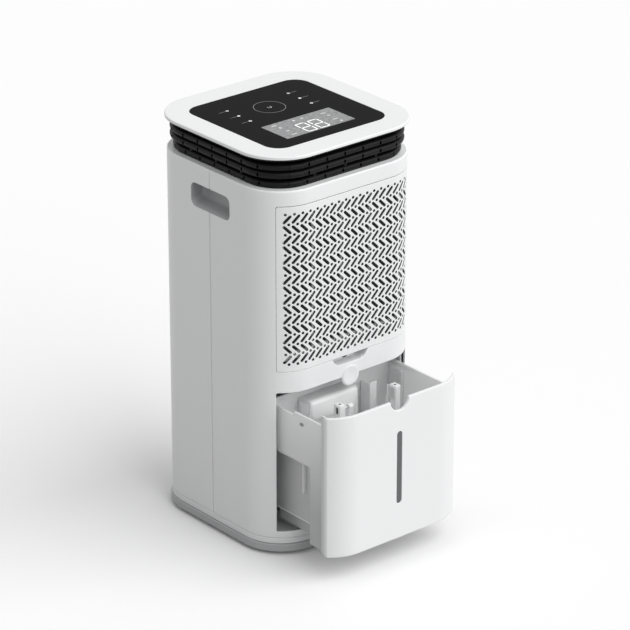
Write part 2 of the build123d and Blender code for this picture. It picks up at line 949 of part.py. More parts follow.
# Fan
def scroll_sketch(inset):
    radius = scroll_r - inset
    top = shoulder_z - shell_wall - scroll_outlet_gap
    reach = top - fan_z
    width = scroll_r - outlet_left - 2 * inset
    duct = Pos((scroll_r + outlet_left) / 2, fan_z + reach / 2) * Rectangle(width, reach)
    return Pos(0, fan_z) * RegularPolygon(radius, round_sides) + duct


def make_scroll():
    y1 = scroll_y + scroll_len
    case = front_prism(scroll_sketch(0), scroll_y, y1)
    case -= front_prism(scroll_sketch(inner_wall), scroll_y + inner_wall, y1 - inner_wall)
    case -= facet_rod(inlet_r, round_sides, 0, fan_z, scroll_y, scroll_y + inner_wall)
    case -= facet_rod(shaft_r + end_clear, small_sides, 0, fan_z, y1 - inner_wall, y1)
    for side in (-1, 1):
        x = side * scroll_foot_x
        leg = slab(x - scroll_foot_w / 2, x + scroll_foot_w / 2, scroll_y, y1, deck_top, fan_z)
        case += leg - front_prism(scroll_sketch(inner_wall / 2), scroll_y, y1)
    return case


def wheel_y():
    return scroll_y + (scroll_len - wheel_len) / 2


def make_wheel():
    y0 = wheel_y()
    y1 = y0 + wheel_len
    wheel = facet_rod(wheel_r, blade_count, 0, fan_z, y1 - wheel_disc_t, y1)
    rim = facet_rod(wheel_r, blade_count, 0, fan_z, y0, y0 + wheel_rim_h)
    rim -= facet_rod(wheel_r - wheel_rim_t, blade_count, 0, fan_z, y0, y0 + wheel_rim_h)
    wheel += rim
    middle = wheel_r - wheel_rim_t - blade_len / 2 * cos(radians(blade_sweep))
    for blade in range(blade_count):
        spin = 360 / blade_count * blade
        section = Rot(0, 0, spin) * Pos(middle, 0) * Rot(0, 0, blade_sweep) * Rectangle(blade_len, blade_t)
        wheel += front_prism(Pos(0, fan_z) * section, y0 + wheel_rim_h / 2, y1 - wheel_disc_t)
    wheel += facet_rod(hub_r, can_sides, 0, fan_z, y1 - hub_len, y1)
    return wheel - facet_rod(shaft_r + run_clear, can_sides, 0, fan_z, y0, y1)


def motor_y():
    return scroll_y + scroll_len


def make_shaft():
    y0 = wheel_y() + wheel_len - hub_len
    return rod_y(shaft_r, 0, fan_z, y0, motor_y() + motor_len - motor_bevel)


def make_motor():
    y0 = motor_y()
    motor = facet_rod(motor_r, round_sides, 0, fan_z, y0, y0 + motor_len)
    motor = chamfer(motor.edges().group_by(Axis.Y)[-1], motor_bevel)
    bore_r = shaft_r + run_clear
    return motor - facet_rod(bore_r, can_sides, 0, fan_z, y0, y0 + motor_len - motor_bevel + end_clear)


# Compressor room
def leg_places():
    reach = leg_reach - grommet_r - end_clear
    return [(comp_x + reach * cos(radians(t)), comp_y + reach * sin(radians(t))) for t in leg_turns]


def comp_low():
    return plinth_h + base_floor + grommet_h


def make_compressor():
    low = comp_low() + leg_t
    can = facet_disc(comp_r, round_sides, comp_x, comp_y, low, low + comp_h)
    can = chamfer(can.edges().group_by(Axis.Z)[-1], comp_dome, comp_dome_in)
    for turn in leg_turns:
        leg = slab(0, leg_reach, -leg_w / 2, leg_w / 2, comp_low(), low)
        can += Pos(comp_x, comp_y, 0) * Rot(0, 0, turn) * leg
    return can


def make_grommets():
    low = plinth_h + base_floor
    ring = facet_disc(grommet_r, small_sides, 0, 0, low, low + grommet_h)
    ring -= facet_disc(stud_r + fit_clear, tiny_sides, 0, 0, low, low + grommet_h)
    return Part() + [Pos(x, y, 0) * ring for x, y in leg_places()]


def acc_x():
    return comp_x + comp_r + acc_gap + acc_r


def make_accumulator():
    low = base_top + acc_low
    can = facet_disc(acc_r, can_sides, acc_x(), comp_y, low, low + acc_h)
    rims = can.edges().group_by(Axis.Z)[-1] + can.edges().group_by(Axis.Z)[0]
    can = chamfer(rims, acc_dome)
    strap = slab(comp_x + comp_r - strap_bite, acc_x(), comp_y - acc_r / 2, comp_y + acc_r / 2,
                 low + acc_h / 2, low + acc_h / 2 + acc_r)
    return can + (strap - disc(comp_r + fit_clear, comp_x, comp_y, low, low + acc_h))


def pipe_runs():
    plate = coil_half + coil_plate_t
    side = plate + pipe_out
    run_z = deck_top + tray_h + pipe_rise
    comp_top = comp_low() + leg_t + comp_h
    riser = comp_x - comp_r / 2
    hot_y = condenser_y + coil_t / 2
    cold_y = evaporator_y + coil_t / 2
    acc_top = base_top + acc_low + acc_h
    bend_z = acc_top + pipe_rise
    discharge = [(riser, comp_y, comp_top), (riser, comp_y, run_z), (-side, comp_y, run_z)]
    discharge += [(-side, hot_y, run_z), (-plate, hot_y, run_z)]
    suction = [(plate, cold_y, run_z), (side, cold_y, run_z), (side, pipe_drop_y, run_z)]
    suction += [(side, pipe_drop_y, bend_z), (acc_x(), pipe_drop_y, bend_z)]
    suction += [(acc_x(), comp_y, bend_z), (acc_x(), comp_y, acc_top)]
    return discharge, suction


def pipe_holes():
    discharge, suction = pipe_runs()
    return [discharge[1][:2], suction[3][:2]]


def make_pipes():
    pipes = []
    for points in pipe_runs():
        path = Polyline(*points)
        section = Plane(path @ 0, z_dir=path % 0) * RegularPolygon(pipe_r, small_sides)
        pipes.append(sweep(section, path, transition=Transition.RIGHT))
    return Part() + pipes


def make_capacitor():
    low = plinth_h + base_floor
    return facet_disc(cap_r, can_sides, cap_x, cap_y, low, low + cap_h)


def make_switch():
    low = pin_z() - switch_h / 2
    x0 = switch_x - switch_w / 2
    return slab(x0, x0 + switch_w, bay_back, bay_back + switch_d, low, low + switch_h)


# Electronics
def box_y():
    return inner_half - fit_clear - block_d - fit_clear - box_d


def make_board_box():
    y0 = box_y()
    case = slab(box_x, box_x + box_w, y0, y0 + box_d, deck_top, deck_top + box_h)
    return case - slab(box_x + box_wall, box_x + box_w - box_wall, y0, y0 + box_d - box_wall,
                       deck_top + box_wall, deck_top + box_h - box_wall)


def make_main_board():
    y1 = box_y() + box_d - box_wall - pcb_stand
    edge = box_wall + fit_clear
    board = slab(box_x + edge, box_x + box_w - edge, y1 - pcb_t, y1, deck_top + edge, deck_top + box_h - edge)
    x = box_x + box_w / 2
    z = deck_top + box_h / 2
    for spot in (-1, 1):
        board += facet_rod(stand_r, tiny_sides, x + spot * stand_x, z + spot * stand_z, y1, y1 + pcb_stand)
    front = y1 - pcb_t
    return board + slab(x - relay_w / 2, x + relay_w / 2, front - relay_d, front, z, z + relay_h)


# Rear fittings
def drain_box(reach, y0, y1):
    return slab(drain_x - reach, drain_x + reach, y0, y1, drain_z - reach, drain_z + reach)


def make_drain():
    root = half - drain_cup_depth
    cup = drain_box(drain_cup_half, root, half)
    cup += drain_box(drain_cup_half + drain_flange, inner_half - drain_cup_wall, inner_half)
    cup -= drain_box(drain_cup_half - drain_cup_wall, root + drain_cup_wall, half)
    cup += rod_y(drain_r, drain_x, drain_z, root, root + drain_cup_wall + drain_len)
    return cup - facet_rod(drain_bore_r, can_sides, drain_x, drain_z, root, half)


def make_gland():
    inside = inner_half - gland_in
    gland = facet_rod(gland_r, tiny_sides, gland_x, gland_z, inside, half)
    gland += facet_rod(gland_flange_r, tiny_sides, gland_x, gland_z, half, half + gland_out)
    gland += facet_rod(gland_flange_r, tiny_sides, gland_x, gland_z, inside, inner_half - fit_clear)
    return gland - facet_rod(cord_hole_r, small_sides, gland_x, gland_z, half, half + gland_out)


def screw_hole(x, z):
    rear = inner_half - fit_clear
    return facet_rod(screw_r + shaft_clear, tiny_sides, x, z, rear - screw_bite - end_clear, rear)


def screw_places():
    rows = (base_top + block_h / 2, deck_top + block_h / 2)
    return [(side * screw_x, z) for side in (-1, 1) for z in rows]


def make_screws():
    screws = []
    for x, z in screw_places():
        shank = facet_rod(screw_r, tiny_sides, x, z, inner_half - screw_bite, half)
        screws.append(shank + facet_rod(screw_head_r, tiny_sides, x, z, half, half + screw_head_t))
    return Part() + screws


# Build and write every piece
column_body = make_column()
left_cup = make_grip_cup()
pieces = {
    "base_tray": make_base(),
    "base_pads": make_pads(),
    "front_shell": make_front_shell(column_body),
    "rear_shell": make_rear_shell(column_body),
    "left_grip_cup": left_cup,
    "right_grip_cup": mirror(left_cup, about=Plane.YZ),
    "finger_cup": make_finger_cup(),
    "status_lens": make_lens(),
    "air_louvre": make_louvre(),
    "top_frame": make_top_frame(),
    "control_glass": make_glass(),
    "display_module": make_display(),
    "control_board": make_control_board(),
    "grille_panel": make_grille(),
    "grille_pins": make_hinge_pins(),
    "filter_frame": make_filter_frame(),
    "filter_mesh": make_filter_mesh(),
    "tank_front": make_tank_front(),
    "tank_bin": make_bin(),
    "level_window": make_level_window(),
    "float_pins": make_float_pins(),
    "float_arm": make_float_arm(),
    "float_block": make_float(),
    "float_magnet": make_magnet(),
    "tank_bay": make_bay(),
    "middle_deck": make_deck(),
    "drip_tray": make_drip_tray(),
    "evaporator": make_coil(evaporator_y),
    "condenser": make_coil(condenser_y),
    "fan_scroll": make_scroll(),
    "fan_wheel": make_wheel(),
    "fan_shaft": make_shaft(),
    "fan_motor": make_motor(),
    "compressor": make_compressor(),
    "compressor_grommets": make_grommets(),
    "accumulator": make_accumulator(),
    "refrigerant_pipes": make_pipes(),
    "run_capacitor": make_capacitor(),
    "tank_switch": make_switch(),
    "board_box": make_board_box(),
    "main_board": make_main_board(),
    "drain_outlet": make_drain(),
    "cord_gland": make_gland(),
    "casing_screws": make_screws(),
}

os.makedirs("parts", exist_ok=True)
for name, shape in pieces.items():
    export_step(shape, f"parts/{name}.step")
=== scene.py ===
import bpy
import math
import numpy as np
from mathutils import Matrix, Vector, geometry


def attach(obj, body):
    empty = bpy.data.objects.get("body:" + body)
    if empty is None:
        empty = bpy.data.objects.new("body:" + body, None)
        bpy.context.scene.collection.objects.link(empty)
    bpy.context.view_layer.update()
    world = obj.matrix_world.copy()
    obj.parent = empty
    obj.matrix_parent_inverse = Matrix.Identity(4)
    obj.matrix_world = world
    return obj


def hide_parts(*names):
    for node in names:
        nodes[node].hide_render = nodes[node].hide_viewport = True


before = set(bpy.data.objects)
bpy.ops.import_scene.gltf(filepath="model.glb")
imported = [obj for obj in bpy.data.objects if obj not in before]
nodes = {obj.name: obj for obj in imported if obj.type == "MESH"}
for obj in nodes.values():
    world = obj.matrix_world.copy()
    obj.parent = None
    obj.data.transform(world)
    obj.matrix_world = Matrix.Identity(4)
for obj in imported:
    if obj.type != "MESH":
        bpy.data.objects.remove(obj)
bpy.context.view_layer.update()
scene = bpy.context.scene
scene.view_settings.view_transform = "Standard"
print("frame loaded:", len(nodes), "nodes")

column = {"half": 0.130, "cornerR": 0.061, "cornerSteps": 16}   # body outline seen from above
levels = {"base": 0.025, "sill": 0.034, "strip": 0.237, "grille": 0.267, "lintel": 0.500,
          "shoulder": 0.521, "plate": 0.561, "rim": 0.5645, "top": 0.5686}
tankShift = -0.100   # the tank stands pulled out at rest
flatHalf = column["half"] - column["cornerR"]
cornerRun = column["cornerR"] * math.pi / 2
sideRun = 2 * flatHalf + cornerRun
cornerU = flatHalf + cornerRun / 2   # middle of the front corner


def sideName(side):
    return "Left" if side < 0 else "Right"


# a point on the outline: run u from the middle of the front, to the right
def outlineAt(u, inset=0.0):
    side = math.floor((u + flatHalf) / sideRun)
    along = u + flatHalf - side * sideRun
    if along <= 2 * flatHalf:
        x, y, nx, ny = along - flatHalf, -column["half"], 0.0, -1.0
    else:
        turn = (along - 2 * flatHalf) / column["cornerR"]
        nx, ny = math.sin(turn), -math.cos(turn)
        x, y = flatHalf + column["cornerR"] * nx, -flatHalf + column["cornerR"] * ny
    for quarter in range(side % 4):
        x, y, nx, ny = -y, x, -ny, nx
    return x - nx * inset, y - ny * inset


# all the runs at which the outline needs a point
def wholeRun():
    runs = []
    for side in range(4):
        start = side * sideRun - flatHalf
        runs.append(start)
        for step in range(column["cornerSteps"]):
            runs.append(start + 2 * flatHalf + step / column["cornerSteps"] * cornerRun)
    return runs


# rounds the corners of an open or closed line of points
def eased(points, radius, steps=4, closed=False):
    out = []
    count = len(points)
    for i, point in enumerate(points):
        if not closed and i in (0, count - 1):
            out.append(point)
            continue
        before, after = Vector(points[i - 1]), Vector(points[(i + 1) % count])
        corner = Vector(point)
        r = radius[i] if isinstance(radius, (list, tuple)) else radius
        reachBefore = min(r, (before - corner).length * 0.48)   # two roundings never meet
        reachAfter = min(r, (after - corner).length * 0.48)
        if min(reachBefore, reachAfter) < 1e-6:
            out.append(tuple(corner))
            continue
        start = corner + (before - corner).normalized() * reachBefore
        end = corner + (after - corner).normalized() * reachAfter
        for step in range(steps + 1):
            t = step / steps
            out.append(tuple(start * (1 - t) ** 2 + corner * 2 * t * (1 - t) + end * t ** 2))
    return out


def arc(cu, cv, r, a0, a1, steps):
    turns = [math.radians(a0 + (a1 - a0) * k / steps) for k in range(steps + 1)]
    return [(cu + r * math.cos(a), cv + r * math.sin(a)) for a in turns]


def circle(cu, cv, r, steps=24):
    turns = [2 * math.pi * k / steps for k in range(steps)]
    return [(cu + r * math.cos(a), cv + r * math.sin(a)) for a in turns]


def roundBox(u0, u1, v0, v1, r, steps=6):
    corners = ((u1 - r, v1 - r), (u0 + r, v1 - r), (u0 + r, v0 + r), (u1 - r, v0 + r))
    points = []
    for k, (cu, cv) in enumerate(corners):
        points += arc(cu, cv, r, 90 * k, 90 * k + 90, steps)
    return points


def boxAt(cu, cv, halfU, halfV, r, steps):
    return roundBox(cu - halfU, cu + halfU, cv - halfV, cv + halfV, r, steps)


def pill(cu, cv, length, width, lean, steps=5):
    c, s = math.cos(math.radians(lean)), math.sin(math.radians(lean))
    half, r = (length - width) / 2, width / 2
    flat = arc(half, 0, r, -90, 90, steps) + arc(-half, 0, r, 90, 270, steps)
    return [(cu + x * c - y * s, cv + x * s + y * c) for x, y in flat]


def meshPiece(name, verts, faces, finish, body="housing", slot=None, stands=(), sharp=38, second=None,
              secondFaces=()):
    mesh = bpy.data.meshes.new(name)
    mesh.from_pydata([tuple(v) for v in verts], [], faces)
    for k in secondFaces:
        mesh.polygons[k].material_index = 1
    mesh.validate()
    mesh.shade_smooth()
    mesh.set_sharp_from_angle(angle=math.radians(sharp))
    mesh.materials.append(finish)
    if second:
        mesh.materials.append(second)
    piece = bpy.data.objects.new(name, mesh)
    scene.collection.objects.link(piece)
    even = piece.modifiers.new("evenNormals", "WEIGHTED_NORMAL")   # keeps flats flat beside round corners
    even.keep_sharp = True
    even.weight = 90
    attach(piece, body)
    if stands:
        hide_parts(*stands)
    return piece


# sweeps an (inset, z) profile round the column, or along the given runs
# pockets are square holes: (u, width, first and last profile step, depth)
def sweepRing(name, profile, finish, runs=None, pockets=(), **kw):
    loop = runs is None
    sides = {p[0] + s * p[1] / 2 for p in pockets for s in (-1, 1)}
    runs = sorted(set(wholeRun() if loop else runs) | sides)
    m, n = len(profile), len(runs)
    verts = [(*outlineAt(u, inset), z) for u in runs for inset, z in profile]
    faces = []
    for i in range(n if loop else n - 1):
        j = (i + 1) % n
        hole = next((p for p in pockets if abs(runs[i] - (p[0] - p[1] / 2)) < 1e-9), None)
        for k in range(m - 1):
            if hole and hole[2] <= k < hole[3]:
                continue
            faces.append((i * m + k, j * m + k, j * m + k + 1, i * m + k + 1))
        if hole:
            k0, k1, deep = hole[2:]
            first = len(verts)
            for a, k in ((i, k0), (j, k0), (j, k1), (i, k1)):
                verts.append((*outlineAt(runs[a], profile[k][0] + deep), profile[k][1]))
            farWall = [j * m + k for k in range(k0, k1 + 1)] + [first + 2, first + 1]
            nearWall = [i * m + k for k in range(k1, k0 - 1, -1)] + [first, first + 3]
            faces.append((first, first + 1, j * m + k0, i * m + k0))
            faces.append((first + 2, first + 3, i * m + k1, j * m + k1))
            faces.append(tuple(farWall[::-1]))
            faces.append(tuple(nearWall[::-1]))
            faces.append((first, first + 1, first + 2, first + 3))
    return meshPiece(name, verts, faces, finish, **kw)


def signedArea(loop):
    return sum(a[0] * b[1] - b[0] * a[1] for a, b in zip(loop, loop[1:] + loop[:1])) / 2


# splits long stretches, so that a loop can bend round the corners
def dense(loop, step):
    out = []
    for a, b in zip(loop, loop[1:] + loop[:1]):
        cuts = max(1, math.ceil(abs(b[0] - a[0]) / step))
        out += [(a[0] + (b[0] - a[0]) * k / cuts, a[1] + (b[1] - a[1]) * k / cuts) for k in range(cuts)]
    return out


def pulledIn(loop, reach):
    out = []
    count = len(loop)
    for i, p in enumerate(loop):
        d1 = (Vector(p) - Vector(loop[i - 1])).normalized()
        d2 = (Vector(loop[(i + 1) % count]) - Vector(p)).normalized()
        side = Vector((-d1.y, d1.x)) + Vector((-d2.y, d2.x))
        side /= max(0.5, 1 + d1.dot(d2))
        out.append((p[0] + side.x * reach[i], p[1] + side.y * reach[i]))
    return out


def within(points, loop):
    x, y = points[:, 0], points[:, 1]
    hit = np.zeros(len(points), bool)
    for a, b in zip(loop, loop[1:] + loop[:1]):
        if a[1] == b[1]:
            continue
        cross = (a[1] > y) != (b[1] > y)
        hit ^= cross & (x < a[0] + (y - a[1]) / (b[1] - a[1]) * (b[0] - a[0]))
    return hit


# a plate with holes and softened edges, drawn flat in (u, v) and laid on a surface by place(u, v, depth)
def plate(name, outer, holes, place, thick, edge, finish, step=0.004, grid=(), soft=3, **kw):
    loops = []
    for k, loop in enumerate([outer, *holes]):
        loop = dense(loop, step)
        loops.append(loop if (signedArea(loop) > 0) == (k == 0) else loop[::-1])
    reach = [[edge(*p) if callable(edge) else edge for p in loop] for loop in loops]
    inner = [pulledIn(loop, r) for loop, r in zip(loops, reach)]
    flat, lines, starts = [], [], []
    for loop in inner:
        starts.append(len(flat))
        flat += loop
        lines += [(starts[-1] + k, starts[-1] + (k + 1) % len(loop)) for k in range(len(loop))]
    loopCount = len(flat)
    if len(grid):
        spots = np.array(grid, float)
        keep = within(spots, inner[0])
        for loop in inner[1:]:
            keep &= ~within(spots, loop)
        flat += [tuple(p) for p in spots[keep]]
    made = geometry.delaunay_2d_cdt([Vector(p) for p in flat], lines, [], 0, 1e-7)
    index = [src[0] if src else -1 for src in made[3]]
    tris = np.array([[index[v] for v in f] for f in made[2] if all(index[v] >= 0 for v in f)], int)
    mid = np.array(flat, float)[tris].mean(axis=1)
    keep = within(mid, inner[0])
    for loop in inner[1:]:
        lo, hi = np.min(loop, axis=0), np.max(loop, axis=0)
        near = np.flatnonzero(keep & (mid > lo).all(axis=1) & (mid < hi).all(axis=1))
        keep[near[within(mid[near], loop)]] = False
    verts = [place(u, v, 0.0) for u, v in flat]
    faces = [tuple(tri) for tri in tris[keep].tolist()]
    back = list(range(loopCount)) + [-1] * (len(flat) - loopCount)
    walls = []
    for loop, ins, r, start in zip(loops, inner, reach, starts):
        count = len(loop)
        last = list(range(start, start + count))
        for q in range(1, soft + 2):   # rings of the rounded edge, then the back
            turn = math.pi / 2 * min(q, soft) / soft
            pull = 1 - math.sin(turn)
            ring = []
            for k in range(count):
                deep = r[k] * (1 - math.cos(turn)) if q <= soft else thick
                u = loop[k][0] + (ins[k][0] - loop[k][0]) * pull
                v = loop[k][1] + (ins[k][1] - loop[k][1]) * pull
                ring.append(len(verts))
                verts.append(place(u, v, deep))
            if q > soft and start > 0:
                walls += range(len(faces), len(faces) + count)
            faces += [(last[k], ring[k], ring[(k + 1) % count], last[(k + 1) % count]) for k in range(count)]
            last = ring
        back[start:start + count] = last
    for k in range(loopCount, len(flat)):
        back[k] = len(verts)
        verts.append(place(*flat[k], thick))
    faces += [(back[a], back[c], back[b]) for a, b, c in tris[keep].tolist()]
    return meshPiece(name, verts, faces, finish, secondFaces=walls if "second" in kw else (), **kw)


# joins loops of equal length into a skin with an end cap
def loft(name, loops, finish, **kw):
    n = len(loops[0])
    verts = [p for loop in loops for p in loop]
    faces = []
    for k in range(len(loops) - 1):
        for i in range(n):
            j = (i + 1) % n
            faces.append((k * n + i, k * n + j, (k + 1) * n + j, (k + 1) * n + i))
    faces.append(tuple(range((len(loops) - 1) * n, len(loops) * n)))
    return meshPiece(name, verts, faces, finish, **kw)


def onColumn(shift=0.0, lift=0.0):
    def place(u, v, depth):
        x, y = outlineAt(u, depth + lift)
        return (x, y + shift, v)
    return place


# like onColumn, but thickness runs straight back, so that the side edges are cut square
def straightBack(shift):
    def place(u, v, depth):
        x, y = outlineAt(u)
        over = max(abs(x) - flatHalf, 0.0)
        return (x, shift - flatHalf - math.sqrt((column["cornerR"] - depth) ** 2 - over ** 2), v)
    return place


def onTop(z):
    return lambda u, v, depth: (u, v, z - depth)


# drawn from (-y, z), with its softened edges towards the left
def facingLeft(x):
    return lambda u, v, depth: (x + depth, -u, v)


# points that carry the round corners of a plate on the column
def cornerGrid(u0, u1, v0, v1, du=0.004, dv=0.016):
    rows = max(2, math.ceil((v1 - v0) / dv))
    count = math.ceil(cornerRun / du)
    spots = []
    for k in range(math.floor(u0 / sideRun) - 1, math.ceil(u1 / sideRun) + 2):
        for i in range(count + 1):
            u = k * sideRun + flatHalf + i / count * cornerRun
            if u0 < u < u1:
                spots += [(u, v0 + (v1 - v0) * (j + 0.5) / rows) for j in range(rows)]
    return spots


# softened block from corner to corner
def block(name, lo, hi, finish, soft=0.0008, **kw):
    lo, hi = Vector(lo), Vector(hi)
    r = min(soft * 1.6, (hi.x - lo.x) * 0.4, (hi.y - lo.y) * 0.4)
    tall = hi.z - lo.z
    return plate(name, roundBox(lo.x, hi.x, lo.y, hi.y, r, 3), [], onTop(hi.z), tall, min(soft, tall * 0.4),
                 finish, step=1.0, **kw)


# shared finishes: a moulded grain, and lighter edges that are partly wear and partly a painted highlight
def newGroup(name, inputs, outputs):
    tree = bpy.data.node_groups.new(name, "ShaderNodeTree")
    for label, value in inputs.items():
        kind = "NodeSocketColor" if isinstance(value, tuple) else "NodeSocketFloat"
        socket = tree.interface.new_socket(label, in_out="INPUT", socket_type=kind)
        socket.default_value = value
    for label, kind in outputs.items():
        tree.interface.new_socket(label, in_out="OUTPUT", socket_type="NodeSocket" + kind)
    return tree, tree.nodes.new("NodeGroupInput").outputs, tree.nodes.new("NodeGroupOutput").inputs


def joined(tree, kind, links=None, **settings):
    node = tree.nodes.new(kind)
    for key, value in settings.items():
        setattr(node, key, value)
    for key, source in (links or {}).items():
        if isinstance(source, bpy.types.NodeSocket):
            tree.links.new(source, node.inputs[key])
        else:
            node.inputs[key].default_value = source
    return node


def worked(tree, operation, *values, clamp=False):
    node = joined(tree, "ShaderNodeMath", dict(enumerate(values)), operation=operation, use_clamp=clamp)
    return node.outputs[0]


def mouldedGrain():
    inputs = {"Color": (0.8, 0.8, 0.8, 1), "Roughness": 0.4, "Grain Size": 900.0, "Grain Depth": 0.05,
              "Tone Shift": 0.03, "Cloud Size": 9.0}
    outputs = {"Color": "Color", "Roughness": "Float", "Height": "Float"}
    tree, given, result = newGroup("mouldedGrain", inputs, outputs)
    spot = joined(tree, "ShaderNodeTexCoord").outputs["Object"]
    fine = joined(tree, "ShaderNodeTexNoise", {"Vector": spot, "Scale": given["Grain Size"], "Detail": 3.0})
    broad = joined(tree, "ShaderNodeTexNoise", {"Vector": spot, "Scale": given["Cloud Size"], "Detail": 2.0})
    grain, cloud = fine.outputs["Fac"], broad.outputs["Fac"]
    tone = worked(tree, "SUBTRACT", 1.0, worked(tree, "MULTIPLY", cloud, given["Tone Shift"]))
    paint = joined(tree, "ShaderNodeVectorMath", {0: given["Color"], "Scale": tone}, operation="SCALE")
    vary = worked(tree, "MULTIPLY_ADD", grain, 0.10, -0.05)   # roughness wanders a little either way
    tree.links.new(paint.outputs["Vector"], result["Color"])
    tree.links.new(worked(tree, "ADD", given["Roughness"], vary), result["Roughness"])
    tree.links.new(worked(tree, "MULTIPLY", grain, given["Grain Depth"]), result["Height"])
    return tree


# lighter edges: partly wear, partly a painted highlight
def edgeWearAndSheen():
    inputs = {"Color": (0.8, 0.8, 0.8, 1), "Edge Color": (1, 1, 1, 1), "Amount": 0.2, "Width": 0.0008}
    tree, given, result = newGroup("edgeWearAndSheen", inputs, {"Color": "Color", "Normal": "Vector"})
    rounded = joined(tree, "ShaderNodeBevel", {"Radius": given["Width"]}, samples=4).outputs[0]
    plain = joined(tree, "ShaderNodeNewGeometry").outputs["Normal"]
    same = joined(tree, "ShaderNodeVectorMath", {0: rounded, 1: plain}, operation="DOT_PRODUCT")
    off = worked(tree, "SUBTRACT", 1.0, same.outputs["Value"])
    mask = worked(tree, "MULTIPLY", off, given["Amount"], clamp=True)
    looks = {0: mask, 6: given["Color"], 7: given["Edge Color"]}
    blend = joined(tree, "ShaderNodeMix", looks, data_type="RGBA")
    tree.links.new(blend.outputs[2], result["Color"])
    tree.links.new(rounded, result["Normal"])
    return tree


grainGroup = mouldedGrain()
edgeGroup = edgeWearAndSheen()


def placedGroup(mat, group):
    return next(n for n in mat.node_tree.nodes if n.type == "GROUP" and n.node_tree == group)


def grey(level):
    return (level, level, level)


# edge is the colour that edges turn to, partly as wear and partly as a painted highlight; the wear amount
# says how much of it shows
def plastic(name, color, rough=0.42, grain=900.0, depth=0.06, shift=0.03, edge=grey(1), wearAndSheen=0.15,
            width=0.0007, metal=0.0, spec=0.5, coat=0.0, cloud=9.0):
    mat = bpy.data.materials.new(name)
    mat.use_nodes = True
    tree = mat.node_tree
    skin = tree.nodes["Principled BSDF"]
    worn = joined(tree, "ShaderNodeGroup", {"Color": (*color, 1), "Edge Color": (*edge, 1), "Amount": wearAndSheen,
                                            "Width": width}, node_tree=edgeGroup).outputs
    fine = joined(tree, "ShaderNodeGroup", {"Color": worn["Color"], "Roughness": rough, "Grain Size": grain,
                                            "Grain Depth": depth, "Tone Shift": shift, "Cloud Size": cloud},
                  node_tree=grainGroup).outputs
    bump = joined(tree, "ShaderNodeBump", {"Height": fine["Height"], "Normal": worn["Normal"],
                                           "Strength": 0.5, "Distance": 0.0002})
    tree.links.new(fine["Color"], skin.inputs["Base Color"])
    tree.links.new(fine["Roughness"], skin.inputs["Roughness"])
    tree.links.new(bump.outputs["Normal"], skin.inputs["Normal"])
    for key, value in (("Metallic", metal), ("Specular IOR Level", spec), ("Coat Weight", coat)):
        skin.inputs[key].default_value = value
    mat.diffuse_color = (*color, 1)
    return mat


# lit from within; shift mottles the display
def glowing(name, color, strength, shift=0.0):
    mat = plastic(name, color, rough=0.3, depth=0.0, shift=shift, wearAndSheen=0.0, cloud=190.0)
    skin = mat.node_tree.nodes["Principled BSDF"]
    tint = placedGroup(mat, grainGroup).outputs["Color"]
    mat.node_tree.links.new(tint, skin.inputs["Emission Color"])
    skin.inputs["Emission Strength"].default_value = strength
    return mat


